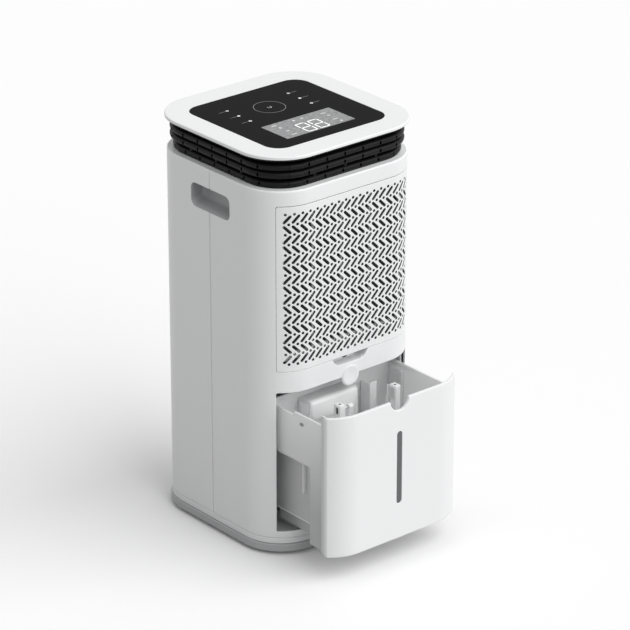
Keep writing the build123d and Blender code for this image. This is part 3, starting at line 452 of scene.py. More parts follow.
# name, colour, roughness, grain size, grain depth, tone shift, edge colour, edge wear and painted highlight
finishes = {
    "white": plastic("shellWhite", (0.85, 0.855, 0.86), 0.38, 1400, 0.05, 0.015, grey(0.9), 0.1),
    # the tank's wide lighter edges are a painted highlight
    "tank": plastic("tankWhitePaintedShade", (0.72, 0.725, 0.73), 0.36, 1100, 0.05, 0.03, grey(0.88), 0.3, 0.0014),
    "base": plastic("baseGrey", (0.44, 0.445, 0.45), 0.42, 1200, 0.08, 0.04, grey(0.6), 0.3),
    # darker grey for the hand recesses: painted shade in the recess
    "cup": plastic("gripShadeGrey", (0.42, 0.425, 0.43), 0.45, 1100, 0.08, 0.04, grey(0.6), 0.2),
    "collar": plastic("collarGrey", (0.74, 0.745, 0.75), 0.40, 1200, 0.06, 0.03, grey(0.85), 0.2),
    "black": plastic("louvreBlack", (0.005, 0.005, 0.0055), 0.45, 1300, 0.08, 0.1, grey(0.02), 0.4,
                     spec=0.15),
    "trim": plastic("trimBlack", (0.03, 0.03, 0.032), 0.5, 1000, 0.1, 0.1, grey(0.1), 0.4),
    "shade": plastic("slotShade", (0.16, 0.162, 0.165), 0.6, 900, 0.1, 0.06, grey(0.2), 0.1),
    "liner": plastic("linerGrey", (0.30, 0.305, 0.31), 0.5, 900, 0.1, 0.06, grey(0.4), 0.3),
    "glass": plastic("panelGlass", (0.005, 0.005, 0.0053), 0.16, 60, 0.0, 0.05, grey(0.05), 0.2,
                     spec=0.01),
    "smoke": plastic("windowSmoke", (0.10, 0.10, 0.105), 0.22, 400, 0.0, 0.1, grey(0.2), 0.3, coat=0.3),
    "foam": plastic("floatFoam", (0.72, 0.72, 0.70), 0.6, 500, 0.4, 0.06, grey(0.8), 0.3),
    "rubber": plastic("padRubber", grey(0.025), 0.75, 700, 0.3, 0.15, grey(0.06), 0.3),
    "mesh": plastic("filterMesh", (0.05, 0.05, 0.055), 0.8, 1600, 0.9, 0.2, grey(0.08), 0.1),
    "fin": plastic("coilAluminium", (0.75, 0.76, 0.78), 0.35, 700, 0.2, 0.1, grey(0.9), 0.3, metal=1.0),
    "copper": plastic("pipeCopper", (0.72, 0.42, 0.27), 0.3, 500, 0.1, 0.15, (0.85, 0.6, 0.45), 0.3,
                      metal=1.0),
    "steel": plastic("zincSteel", (0.6, 0.6, 0.62), 0.35, 800, 0.15, 0.1, (0.75, 0.75, 0.76), 0.4,
                     metal=1.0),
    "enamel": plastic("compressorBlack", grey(0.02), 0.3, 300, 0.2, 0.2, grey(0.12), 0.6),
    "board": plastic("boardGreen", (0.03, 0.16, 0.08), 0.4, 900, 0.2, 0.2, (0.1, 0.3, 0.2), 0.4),
    "lcd": glowing("displayGrey", (0.32, 0.325, 0.33), 0.33, 0.95),
    "lcdMark": glowing("displayMark", (0.52, 0.525, 0.53), 0.5),
    "digit": glowing("displayWhite", grey(0.95), 0.55),
    "icon": glowing("touchWhite", grey(0.75), 0.35),
    "faint": plastic("touchFaint", (0.11, 0.11, 0.112), 0.3, 60, 0.0, 0.0, wearAndSheen=0.0),
}
# the clear tank plastic, with painted light and shade: inward faces light, outward faces painted darker as
# shade, more so low down and on the widest walls, and painted shade in the side step, darkest below its ledge
tankPaintedShade = {"light": (0.93, 0.935, 0.94, 1), "deep": (0.50, 0.505, 0.51, 1), "rim": 0.205, "low": 0.035,
            "outerX": 0.1037, "outer": 0.30, "stepX": 0.100, "step": 0.52, "stepZ": 0.058, "under": 0.48,
            "leastOut": 0.07, "bleed": 0.6, "bleedReach": 0.012}


# paints light and shade into the tank's colour by where a face sits and which way it faces; the subsurface
# bleed is the plastic's translucency
def paintTankShade(mat):
    tree = mat.node_tree
    surface = joined(tree, "ShaderNodeNewGeometry").outputs
    spot = joined(tree, "ShaderNodeSeparateXYZ", {0: surface["Position"]}).outputs
    facing = joined(tree, "ShaderNodeSeparateXYZ", {0: surface["Normal"]}).outputs
    drop = {"Value": spot["Z"], "From Min": tankPaintedShade["rim"], "From Max": tankPaintedShade["low"]}
    height = joined(tree, "ShaderNodeMapRange", drop).outputs[0]
    wide = worked(tree, "ABSOLUTE", spot["X"])
    widest = worked(tree, "GREATER_THAN", wide, tankPaintedShade["outerX"])
    narrow = worked(tree, "LESS_THAN", wide, tankPaintedShade["stepX"])
    under = worked(tree, "LESS_THAN", spot["Z"], tankPaintedShade["stepZ"])
    # painted shade in the side step recess, deepest below its lower ledge
    stepShade = worked(tree, "MULTIPLY_ADD", under, tankPaintedShade["under"], tankPaintedShade["step"])
    stepped = joined(tree, "ShaderNodeMix", {0: narrow, 2: height, 3: stepShade}, data_type="FLOAT").outputs[0]
    # painted shade on the outward faces, stronger on the widest walls and lower down
    paintedShade = worked(tree, "MULTIPLY_ADD", widest, tankPaintedShade["outer"], stepped, clamp=True)
    away = worked(tree, "MULTIPLY", spot["X"], facing["X"])
    outside = worked(tree, "GREATER_THAN", away, tankPaintedShade["leastOut"])
    # only outward faces take the painted shade; inward faces keep the painted light
    shadeAmount = worked(tree, "MULTIPLY", outside, paintedShade)
    looks = {0: shadeAmount, 6: tankPaintedShade["light"], 7: tankPaintedShade["deep"]}
    blend = joined(tree, "ShaderNodeMix", looks, data_type="RGBA")
    tree.links.new(blend.outputs[2], placedGroup(mat, edgeGroup).inputs["Color"])
    skin = tree.nodes["Principled BSDF"]
    skin.inputs["Subsurface Weight"].default_value = tankPaintedShade["bleed"]
    skin.inputs["Subsurface Radius"].default_value = grey(1)
    skin.inputs["Subsurface Scale"].default_value = tankPaintedShade["bleedReach"]


paintTankShade(finishes["tank"])
print("finishes made:", len(finishes))

# camera of the photograph
view = {"place": (-2.8363, -3.4331, 2.2459), "look": (0.04833, 0.0, 0.26561), "lens": 207.34, "sensor": 36,
        "farthest": 60}
camera = bpy.data.objects.new("camera", bpy.data.cameras.new("camera"))
camera.data.lens = view["lens"]
camera.data.sensor_width = view["sensor"]
camera.data.clip_end = view["farthest"]
camera.location = view["place"]
camera.rotation_euler = (Vector(view["look"]) - Vector(view["place"])).to_track_quat("-Z", "Y").to_euler()
scene.collection.objects.link(camera)
scene.camera = camera


# 1 where the camera, a mirror or glass sees the surface, 0 where it only lights others
def seenDirectly(tree):
    path = joined(tree, "ShaderNodeLightPath").outputs
    mirrored = worked(tree, "ADD", path["Is Glossy Ray"], path["Is Transmission Ray"])
    return worked(tree, "ADD", path["Is Camera Ray"], mirrored, clamp=True)


# white floor, soft key from the front right, low sky
studio = {"key": 2.24, "keyFrom": (0.22, -0.49, 0.45), "keySoft": 75, "sky": 0.54, "floor": 0.985,
          "floorBounce": 0.42, "floorHalf": 30, "floorRough": 0.9}
key = bpy.data.objects.new("keySun", bpy.data.lights.new("keySun", "SUN"))
key.data.energy = studio["key"]
key.data.angle = math.radians(studio["keySoft"])
key.rotation_euler = (-Vector(studio["keyFrom"])).to_track_quat("-Z", "Y").to_euler()
scene.collection.objects.link(key)
world = bpy.data.worlds.new("softSky")
world.use_nodes = True
skyTree = world.node_tree
sky = skyTree.nodes["Background"].inputs
sky["Color"].default_value = (1, 1, 1, 1)
skyLevel = worked(skyTree, "MULTIPLY_ADD", seenDirectly(skyTree), 1 - studio["sky"], studio["sky"])
skyTree.links.new(skyLevel, sky["Strength"])   # plain white where the camera sees past the floor
scene.world = world
reach = studio["floorHalf"]
floorMesh = bpy.data.meshes.new("floor")
floorMesh.from_pydata([(-reach, -reach, 0), (reach, -reach, 0), (reach, reach, 0), (-reach, reach, 0)], [],
                      [(0, 1, 2, 3)])
floor = bpy.data.objects.new("floor", floorMesh)
scene.collection.objects.link(floor)
floorMat = bpy.data.materials.new("paleFloor")
floorMat.use_nodes = True
floorTree = floorMat.node_tree
floorSkin = floorTree.nodes["Principled BSDF"].inputs
floorLooks = {0: seenDirectly(floorTree), 6: (*grey(studio["floorBounce"]), 1),
              7: (*grey(studio["floor"]), 1)}
floorTone = joined(floorTree, "ShaderNodeMix", floorLooks, data_type="RGBA")
floorTree.links.new(floorTone.outputs[2], floorSkin["Base Color"])
floorSkin["Roughness"].default_value = studio["floorRough"]
floorSkin["Specular IOR Level"].default_value = 0.0
floorMesh.materials.append(floorMat)
print("camera and studio set")

# base: grey lower tier, lighter upper tier, floor of the tank bay, pan, foot ring, runners
base = {"lower": -0.002, "upper": -0.0010, "foot": 0.005, "tier": 0.0165, "groove": 0.0012, "line": 0.0004,
        "slope": 0.0008, "upperLift": 0.0006, "upperDrop": 0.0014, "inner": 0.030, "deckIn": 0.006,
        "lowerRound": [0, 0.0014, 0.0010, 0.0002, 0], "upperRound": [0, 0.0006, 0.0012, 0.0002, 0.0002, 0],
        "floorIn": 0.005, "floorRise": 0.0001, "floorThick": 0.004, "bayBack": 0.0185, "panHalf": 0.101,
        "panTop": 0.0088, "panRound": 0.030, "panWall": 0.002, "panLap": 0.0003, "panUnder": 0.0038,
        "panEdge": 0.0005, "ringIn": 0.012, "ringLow": 0.0003, "ringTop": 0.006, "ringRound": 0.001,
        "runnerX": 0.070, "runnerW": 0.010, "runnerTop": 0.037, "runnerFront": -0.108}
basePart = {"finish": finishes["base"], "slot": "base_grey"}
collarPart = {"finish": finishes["collar"], "slot": "base_grey"}
tier, groove, deck = base["tier"], base["groove"], levels["base"]
lowerTier = [(base["inner"], base["foot"]), (base["lower"], base["foot"]),
             (base["lower"], tier - base["slope"]), (groove, tier), (groove, tier + base["line"])]
upperTier = [(groove, tier + base["line"]), (base["upper"], tier + base["upperLift"]),
             (base["upper"] + base["slope"], deck - base["upperDrop"]), (groove, deck - base["slope"]),
             (groove, deck), (base["deckIn"], deck)]
sweepRing("baseTier", eased(lowerTier, base["lowerRound"], 3), stands=("base_tray",), **basePart)
sweepRing("baseCollar", eased(upperTier, base["upperRound"], 3), **collarPart)
frontRun = sorted(u - 4 * sideRun if u > 2 * sideRun else u for u in wholeRun())
floorLoop = [p for p in (outlineAt(u, base["floorIn"]) for u in frontRun) if p[1] < 0]
floorLoop = [(floorLoop[0][0], base["bayBack"]), *floorLoop, (floorLoop[-1][0], base["bayBack"])]
plate("bayFloor", floorLoop, [], onTop(deck + base["floorRise"]), base["floorThick"], base["panEdge"],
      **collarPart)
panHalf, panFront = base["panHalf"], base["bayBack"] - base["panWall"]
plate("basePan", roundBox(-panHalf, panHalf, panFront, panHalf, base["panRound"]), [], onTop(base["panTop"]),
      base["panTop"] - base["foot"], base["panEdge"], **basePart)
block("basePanWall", (-panHalf, panFront, base["panTop"] - base["panLap"]),
      (panHalf, base["bayBack"], deck - base["panUnder"]), **basePart)
footRing = [(base["inner"], base["ringTop"]), (base["inner"], base["ringLow"]),
            (base["ringIn"], base["ringLow"]), (base["ringIn"], base["ringTop"])]
sweepRing("footRing", eased(footRing, base["ringRound"], 2), **basePart)
for side in (-1, 1):
    x = side * base["runnerX"]
    block("runner" + sideName(side), (x - base["runnerW"] / 2, base["runnerFront"], deck),
          (x + base["runnerW"] / 2, 0.0, base["runnerTop"]), **collarPart)
print("base made")

# front and rear shells with their openings
shell = {"wall": 0.0025, "edge": 0.0009, "topEdge": 0.0023, "seamEdge": 0.0004, "groove": 0.0026,
         "room": 0.0002, "openR": 0.003, "discR": 0.015, "notchTop": 0.031, "notchLow": 0.023,
         "notchZ": 0.2555, "notchRound": 0.005, "lipIn": 0.0016, "lipStep": 0.002, "deckIn": 0.0185,
         "deckThick": 0.0025, "drainX": 0.040, "drainZ": 0.205, "drainHalf": 0.0222, "drainRound": 0.0006}
grip = {"halfWide": 0.040, "low": 0.461, "high": 0.494, "round": 0.009, "deep": 0.0218, "rise": 0.007,
        "fillet": 0.005, "lead": 0.0006, "clear": 0.0008, "leastR": 0.003, "cornerSteps": 6,
        "straightSteps": 4, "bendSteps": 6}
shellPart = {"finish": finishes["white"], "slot": "shell_white"}
partU = sideRun   # middle of the side face
near = 0.001   # an edge this close to an opening belongs to it
tiny, hair = 1e-9, 1e-6   # room for rounding, on a level and on an opening's edge


def edgeSize(u, v):
    if v > levels["shoulder"] - near:
        return shell["topEdge"]
    byGrille = abs(u) < cornerU + near and levels["grille"] - near < v < levels["lintel"] + near
    return shell["seamEdge"] if byGrille else shell["edge"]


# half of the hand recess, from its low end on the parting line to its high end
def gripSide(sign):
    mid, reach, r = sign * partU, sign * (partU - grip["halfWide"]), grip["round"]
    turns = [math.radians(90 * k / grip["cornerSteps"]) for k in range(grip["cornerSteps"] + 1)]
    lowEnd = [(reach + sign * (r - r * math.sin(a)), grip["low"] + r - r * math.cos(a)) for a in turns]
    highEnd = [(reach + sign * (r - r * math.cos(a)), grip["high"] - r + r * math.sin(a)) for a in turns]
    return [(mid, grip["low"])] + lowEnd + highEnd + [(mid, grip["high"])]


# the last point of a loop on its top level, right of the middle
def topRight(loop, level):
    return max(i for i, (u, v) in enumerate(loop) if v > level - tiny and u > 0)


def spliced(loop, cut, extra):
    return loop[:cut + 1] + extra + loop[cut + 1:]


# the tank's opening is cut straight back, so that the tank slides clear of it
def onFront(u, v, depth):
    inTank = abs(u) < cornerU + hair and levels["sill"] - hair < v < levels["strip"] + hair
    return (straightBack(0.0) if inTank else onColumn())(u, v, depth)


low, high = levels["base"] + shell["room"], levels["shoulder"]
rightSide = [(-partU, low), (partU, low)] + gripSide(1) + [(partU, high), (-partU, high)]
shellOuter = rightSide + gripSide(-1)[::-1]
notch = eased([(-shell["notchTop"], levels["grille"]), (-shell["notchLow"], shell["notchZ"]),
               (shell["notchLow"], shell["notchZ"]), (shell["notchTop"], levels["grille"])],
              shell["notchRound"], 5)
grilleHole = roundBox(-cornerU, cornerU, levels["grille"], levels["lintel"], shell["openR"], 5)
cut = next(i for i, (u, v) in enumerate(grilleHole) if v < levels["grille"] + tiny and u < 0)
grilleHole = spliced(grilleHole, cut, notch)
tankHole = roundBox(-cornerU, cornerU, levels["sill"], levels["strip"], shell["openR"], 5)
discBite = arc(0, levels["strip"], shell["discR"], 0, -180, 20)
tankHole = spliced(tankHole, topRight(tankHole, levels["strip"]), discBite)
plate("frontSkin", shellOuter, [grilleHole, tankHole], onFront, shell["wall"], edgeSize,
      grid=cornerGrid(-partU, partU, low, high), stands=("front_shell",), **shellPart)
rearStart = partU + shell["groove"]
rearEnd = 4 * sideRun - rearStart
bite = [(max(2 * partU - u, rearStart), v) for u, v in gripSide(1)]   # rear half of the right hand recess
biteLeft = [(4 * sideRun - u, v) for u, v in bite]
rearRight = [(rearStart, low)] + bite + [(rearStart, high), (rearEnd, high)]
rearOuter = rearRight + biteLeft[::-1] + [(rearEnd, low)]
drainU, drainHalf = 2 * sideRun - shell["drainX"], shell["drainHalf"]
drainHole = boxAt(drainU, shell["drainZ"], drainHalf, drainHalf, shell["drainRound"], 2)
plate("rearSkin", rearOuter, [drainHole], onColumn(), shell["wall"], edgeSize,
      grid=cornerGrid(rearStart, rearEnd, low, high), stands=("rear_shell",), **shellPart)
for side in (-1, 1):
    mid = side * (partU + shell["groove"] / 2)
    lip = [mid + k * shell["lipStep"] for k in range(-4, 5)]
    for name, z0, z1 in (("", low, grip["low"]), ("Top", grip["high"], high - shell["room"])):
        sweepRing("partingLip" + name + sideName(side), [(shell["lipIn"], z0), (shell["lipIn"], z1)],
                  runs=lip, **shellPart)
deckLine = [(shell["topEdge"], high), (shell["deckIn"], high), (shell["deckIn"], high - shell["deckThick"])]
sweepRing("shoulderDeck", deckLine, **shellPart)
print("shells made")

# hand recesses: smooth scoops behind the side openings, in a darker grey that paints shade into the recess
straight, bend = grip["straightSteps"], grip["bendSteps"]
straightDeep = grip["deep"] - grip["fillet"]
for side, node in ((-1, "left_grip_cup"), (1, "right_grip_cup")):
    loops = []
    for k in range(straight + bend + 1):
        turn = math.radians(90 * max(0, k - straight) / bend)
        flatDeep = grip["lead"] + (straightDeep - grip["lead"]) * min(k, straight) / straight
        deep = flatDeep + grip["fillet"] * math.sin(turn)
        pull = grip["fillet"] * (1 - math.cos(turn)) + grip["clear"] * min(k, 1)
        lowZ = grip["low"] + grip["rise"] * deep / grip["deep"] + pull
        half, r = grip["halfWide"] - pull, max(grip["leastR"], grip["round"] - pull)
        loop = roundBox(-half, half, lowZ, grip["high"] - pull, r, grip["cornerSteps"])
        loops.append([(side * (column["half"] - deep), y, z) for y, z in (loop if side < 0 else loop[::-1])])
    loft("handScoop" + sideName(side), loops, finishes["cup"], slot="shell_white", stands=(node,))
print("hand recesses made")

# grille: herringbone slots and dots on one curved panel, and a white rebate behind its edge
grille = {"rows": 15, "cols": 18, "rowPitch": 0.01405, "colPitch": 0.012, "slotLen": 0.0154,
          "slotWide": 0.0040, "leans": (45, 135), "dot": 0.0020, "dotSet": 0.0022, "dotSides": 12,
          "low": 0.2674, "high": 0.4988, "edgeU": 0.1165, "round": 0.0028, "thick": 0.0025, "edge": 0.00035,
          "gridStep": (0.004, 0.007), "rebateIn": 0.004, "rebateOut": 0.003, "rebateDrop": 0.0008,
          "rebateLift": 0.0028, "rebateThick": 0.0006, "rebateEdge": 0.0001, "rebateRound": (0.002, 0.003)}
slots = []
middle = (grille["low"] + grille["high"]) / 2
for row in range(grille["rows"]):
    z = middle + ((grille["rows"] - 1) / 2 - row) * grille["rowPitch"]
    shift = grille["dotSet"] if row % 2 == 0 else -grille["dotSet"]
    for col in range(grille["cols"]):
        u = (col - (grille["cols"] - 1) / 2) * grille["colPitch"]
        below, above = z - grille["rowPitch"] / 2, z + grille["rowPitch"] / 2
        slots.append(pill(u, z, grille["slotLen"], grille["slotWide"], grille["leans"][row % 2]))
        slots.append(circle(u + shift, below, grille["dot"], grille["dotSides"]))
        if row == 0:
            slots.append(circle(u - shift, above, grille["dot"], grille["dotSides"]))
edgeU, grilleLow, grilleHigh = grille["edgeU"], grille["low"], grille["high"]
bends = cornerGrid(-edgeU, edgeU, grilleLow, grilleHigh, *grille["gridStep"])
# the slot walls take the dark slotShade finish: painted shade inside the slots
plate("grilleSkin", roundBox(-edgeU, edgeU, grilleLow, grilleHigh, grille["round"], 5), slots, onColumn(),
      grille["thick"], grille["edge"], grid=bends, soft=1, second=finishes["shade"], body="grille",
      stands=("grille_panel",), **shellPart)
back, out = grille["rebateIn"], grille["rebateOut"]
holeRound, rebateRound = grille["rebateRound"]
rebateHole = roundBox(back - edgeU, edgeU - back, grilleLow + back, grilleHigh - back, holeRound, 3)
rebate = roundBox(-cornerU - out, cornerU + out, levels["grille"] - grille["rebateDrop"],
                  levels["lintel"] + out, rebateRound, 3)
plate("grilleRebate", rebate, [rebateHole], onColumn(lift=grille["rebateLift"]), grille["rebateThick"],
      grille["rebateEdge"], soft=1, **shellPart)
print("grille made:", len(slots), "openings")

# strip under the grille: round disc, and the latch in the finger notch
disc = {"r": 0.0135, "seatR": 0.0150, "proud": 0.0012, "dish": 0.0006, "dishR": 0.006, "middleR": 0.001,
        "sides": 40}
latch = {"u": (-0.009, -0.003), "z": (0.2630, 0.2655), "round": 0.0006, "lift": 0.004, "deep": 0.004,
         "edge": 0.0003}
r, proud = disc["r"], disc["proud"]
profile = [(disc["seatR"], -0.0002), (disc["seatR"] - 0.0003, 0.0005), (r + 0.0005, 0.0006), (r, 0.0003),
           (r - 0.0003, proud - 0.0002), (r - 0.0008, proud), (r - 0.003, proud - 0.0002),
           (disc["dishR"], proud - disc["dish"]), (disc["middleR"], proud - disc["dish"])]
rings = []
for ringR, out in profile:
    ring = circle(0, 0, ringR, disc["sides"])
    rings.append([(x, -column["half"] - out, levels["strip"] + z) for x, z in ring])
loft("statusDisc", rings, finishes["white"], slot="lens_white", stands=("status_lens",))
(u0, u1), (z0, z1) = latch["u"], latch["z"]
latchLoop = eased([(u0, z1), (u0, z0), (u1, z0), (u1, z1)], latch["round"], 3)
plate("grilleLatch", latchLoop, [], onColumn(lift=latch["lift"]), latch["deep"], latch["edge"],
      finishes["trim"], step=1.0, slot="trim_black")
print("strip made")

# air outlet: three bulged rings with small square holes, neck, crown, liner, foot and posts
louvre = {"rings": ((0.004, 0.5505), (0.004, 0.5396), (0.008, 0.5260)), "high": 0.009, "bulge": 0.0042,
          "curveSteps": 12, "holesEachWay": 3, "holePitch": 0.0302, "frontShift": -0.0065,
          "holeWide": 0.0030, "holeDeep": 0.004, "holeSteps": (5, 9), "inner": 0.0185, "neck": 0.0105,
          "neckLow": 0.5550, "neckHigh": 0.5580, "neckIn": 0.004, "neckRound": 0.002, "crown": 0.001,
          "lap": 0.0002, "round": 0.0006, "footHigh": 0.0016, "linerDrop": 0.002, "postPitch": 0.052,
          "postIn": 0.0145, "postHalf": (0.0025, 0.004)}
louvrePart = {"finish": finishes["black"], "slot": "louvre_black"}
inner, neck, crown = louvre["inner"], louvre["neck"], louvre["crown"]
shoulder, neckTop, footTop = levels["shoulder"], levels["plate"], levels["shoulder"] + louvre["footHigh"]
for index, (inset, z) in enumerate(louvre["rings"]):
    half = louvre["high"] / 2
    steps = louvre["curveSteps"]
    turns = [math.radians(-90 + 180 * k / steps) for k in range(steps + 1)]
    curve = [(inset + louvre["bulge"] * (1 - math.cos(a)), z + half * math.sin(a)) for a in turns]
    pockets = []
    for side in range(4):
        shift = louvre["frontShift"] if side == 0 else 0.0
        for k in range(-louvre["holesEachWay"], louvre["holesEachWay"] + 1):
            u = side * sideRun + k * louvre["holePitch"] + shift
            pockets.append((u, louvre["holeWide"], *louvre["holeSteps"], louvre["holeDeep"]))
    sweepRing("louvreRing%d" % (index + 1), [(inner, z - half)] + curve + [(inner, z + half)],
              pockets=pockets, stands=("air_louvre",) if index == 0 else (), **louvrePart)
neckLine = [(inner, louvre["neckLow"]), (neck + louvre["neckIn"], louvre["neckLow"]),
            (neck, louvre["neckHigh"]), (neck, neckTop)]
crownLine = [(inner, neckTop), (crown, neckTop), (crown, levels["rim"] + louvre["lap"])]
footLine = [(neck, shoulder), (neck, footTop), (inner, footTop)]
sweepRing("louvreNeck", eased(neckLine, louvre["neckRound"], 3), **louvrePart)
sweepRing("louvreCrown", eased(crownLine, louvre["round"], 3), **louvrePart)
sweepRing("louvreLiner", [(inner, shoulder - louvre["linerDrop"]), (inner, neckTop)], **louvrePart)
sweepRing("louvreFoot", eased(footLine, louvre["round"], 2), **louvrePart)
for side in range(4):
    halfX, halfY = louvre["postHalf"] if side % 2 == 0 else louvre["postHalf"][::-1]
    for k in (-1, 0, 1):
        x, y = outlineAt(side * sideRun + k * louvre["postPitch"], louvre["postIn"])
        block("louvrePost%d%s" % (side + 1, "abc"[k + 1]), (x - halfX, y - halfY, shoulder),
              (x + halfX, y + halfY, neckTop), **louvrePart)
print("air outlet made")

# top frame, cover glass and display window
top = {"proud": 0.0025, "edge": 0.0014, "holeEdge": 0.0004, "holeReach": 0.105, "glassX": 0.098,
       "glassY": 0.097, "glassR": 0.0235, "glassDrop": 0.0002, "glassThick": 0.003, "glassEdge": 0.0005,
       "gap": 0.0003, "lcdX": 0.0573, "lcdY": 0.0272, "lcdAt": (-0.002, -0.0463), "lcdRound": 0.0012,
       "lcdRise": 0.00005, "printEdge": 0.00001}
frameLoop = [outlineAt(u, -top["proud"]) for u in wholeRun()]
glassZ = levels["top"] - top["glassDrop"]


def glassLoop(gap):
    return boxAt(0, 0, top["glassX"] + gap, top["glassY"] + gap, top["glassR"] + gap, 10)


def frameEdge(u, v):
    return top["edge"] if max(abs(u), abs(v)) > top["holeReach"] else top["holeEdge"]


# a thin print on the glass
def mark(name, outer, holes, finish, rise=0.00006):
    return plate(name, outer, holes, onTop(glassZ + rise), rise * 0.9, top["printEdge"], finish, step=1.0,
                 soft=1, slot="display_grey")


plate("topFrame", frameLoop, [glassLoop(top["gap"])], onTop(levels["top"]), levels["top"] - levels["rim"],
      frameEdge, step=1.0, stands=("top_frame",), **shellPart)
plate("coverGlass", glassLoop(0.0), [], onTop(glassZ), top["glassThick"], top["glassEdge"], finishes["glass"],
      step=1.0, slot="panel_glass", stands=("control_glass",))
lcdX, lcdY = top["lcdAt"]
lcdLoop = boxAt(lcdX, lcdY, top["lcdX"], top["lcdY"], top["lcdRound"], 3)
mark("displayWindow", lcdLoop, [], finishes["lcd"], top["lcdRise"])

# two digits of seven segments
digit = {"high": 0.0290, "wide": 0.0147, "bar": 0.0016, "gap": 0.0001, "break": 0.0020, "pitch": 0.0210,
         "at": (-0.0026, -0.0556), "shown": ("abcdefg", "abcdefg"), "rise": 0.00009}


def segment(cx, cy, length, upright):
    h, w = length / 2 - digit["gap"], digit["bar"] / 2
    points = [(-h, 0), (-h + w, -w), (h - w, -w), (h, 0), (h - w, w), (-h + w, w)]
    return [(cx - y, cy + x) if upright else (cx + x, cy + y) for x, y in points]


for n, lit in enumerate(digit["shown"]):
    cx, cy = digit["at"][0] + (n - 0.5) * digit["pitch"], digit["at"][1]
    wide, w, h, cut = digit["wide"], digit["wide"] / 2, digit["high"] / 2, digit["break"] / 2
    bars = {"a": (cx, cy + h, wide, 0), "g": (cx, cy, wide, 0), "d": (cx, cy - h, wide, 0),
            "b": (cx + w, cy + h / 2 - cut / 2, h - cut, 1), "c": (cx + w, cy - h / 2 - cut, h - 2 * cut, 1),
            "f": (cx - w, cy + h / 2 + cut, h - 2 * cut, 1), "e": (cx - w, cy - h / 2, h, 1)}
    for bar in lit:
        mark("digit%d%s" % (n + 1, bar), segment(*bars[bar]), [], finishes["digit"], digit["rise"])

# small display symbols: drops, rings and bars, set about the middle of the display
symbol = {"at": (("drop", -0.009, 0.0193), ("ring", 0.0044, 0.0184), ("bar", 0.0376, 0.0149),
                 ("ring", 0.0386, 0.0041), ("bar", 0.0374, -0.0104), ("drop", 0.0397, -0.0202),
                 ("drop", -0.0394, 0.0097), ("bar", -0.0413, 0.0200), ("ring", -0.0382, -0.0044),
                 ("bar", -0.0385, -0.0185)),
          "tip": 0.0030, "dropR": 0.0018, "dropSink": 0.0004, "ringR": 0.0021, "ringHole": 0.0010,
          "barX": 0.0042, "barY": 0.0009, "barRound": 0.0005, "rise": 0.00008}
for n, (kind, dx, dy) in enumerate(symbol["at"]):
    x, y = lcdX + dx, lcdY + dy
    holes = []
    if kind == "drop":
        outer = [(x, y + symbol["tip"])] + arc(x, y - symbol["dropSink"], symbol["dropR"], 150, 390, 12)
    elif kind == "ring":
        outer = circle(x, y, symbol["ringR"], 18)
        holes = [circle(x, y, symbol["ringHole"], 12)]
    else:
        outer = boxAt(x, y, symbol["barX"], symbol["barY"], symbol["barRound"], 3)
    mark("symbol%02d" % (n + 1), outer, holes, finishes["lcdMark"], symbol["rise"])

# touch marks: a ring with an open ring in it; on either side three marks, each with a line
touch = {"ringAt": (-0.003, 0.032), "ringR": 0.022, "ringWide": 0.0011, "powerR": (0.0030, 0.0024),
         "powerTurn": (-230, 50), "markX": 0.052, "shift": -0.003, "markY": (0.056, 0.032, 0.008),
         "markR": 0.0022, "holeR": 0.0010, "lineOut": 0.008, "lineX": 0.006, "lineY": 0.0005,
         "lineRound": 0.0004}
rx, ry = touch["ringAt"]
ringHole = circle(rx, ry, touch["ringR"] - touch["ringWide"], 48)
mark("touchRing", circle(rx, ry, touch["ringR"], 48), [ringHole], finishes["faint"])
(outerR, innerR), (start, end) = touch["powerR"], touch["powerTurn"]
power = arc(rx, ry, outerR, start, end, 20) + arc(rx, ry, innerR, end, start, 20)
mark("touchPower", power, [], finishes["icon"])
for side in (-1, 1):
    x = side * touch["markX"] + touch["shift"]
    lineMid = x + side * touch["lineOut"]
    for n, y in enumerate(touch["markY"]):
        label = "%s%d" % (sideName(side)[0], n + 1)
        holes = [circle(x, y, touch["holeR"], 8)] if n != 1 else []
        line = boxAt(lineMid, y, touch["lineX"], touch["lineY"], touch["lineRound"], 2)
        mark("touchMark" + label, circle(x, y, touch["markR"], 6 + 4 * n), holes, finishes["icon"])
        mark("touchLine" + label, line, [], finishes["faint"])
print("top made")

# water tank front with its level window
face = {"edgeU": 0.1159, "low": 0.0347, "high": 0.2363, "round": 0.003, "notchR": 0.0158,
        "windowHalf": 0.0044, "windowLow": 0.086, "windowHigh": 0.191, "windowEdge": 0.0005,
        "windowReach": (0.006, 0.2), "thick": 0.004, "edge": 0.0011, "lensGap": 0.0004, "lensIn": 0.0008,
        "lensThick": 0.003, "lensEdge": 0.0004}
edgeU, faceLow, faceHigh = face["edgeU"], face["low"], face["high"]


def faceEdge(u, v):
    reachU, reachV = face["windowReach"]
    return face["windowEdge"] if abs(u) < reachU and v < reachV else face["edge"]


def windowLoop(gap):
    tall = face["windowHigh"] - face["windowLow"]
    middle = (face["windowLow"] + face["windowHigh"]) / 2
    return pill(0, middle, tall - gap, face["windowHalf"] * 2 - gap, 90, 12)


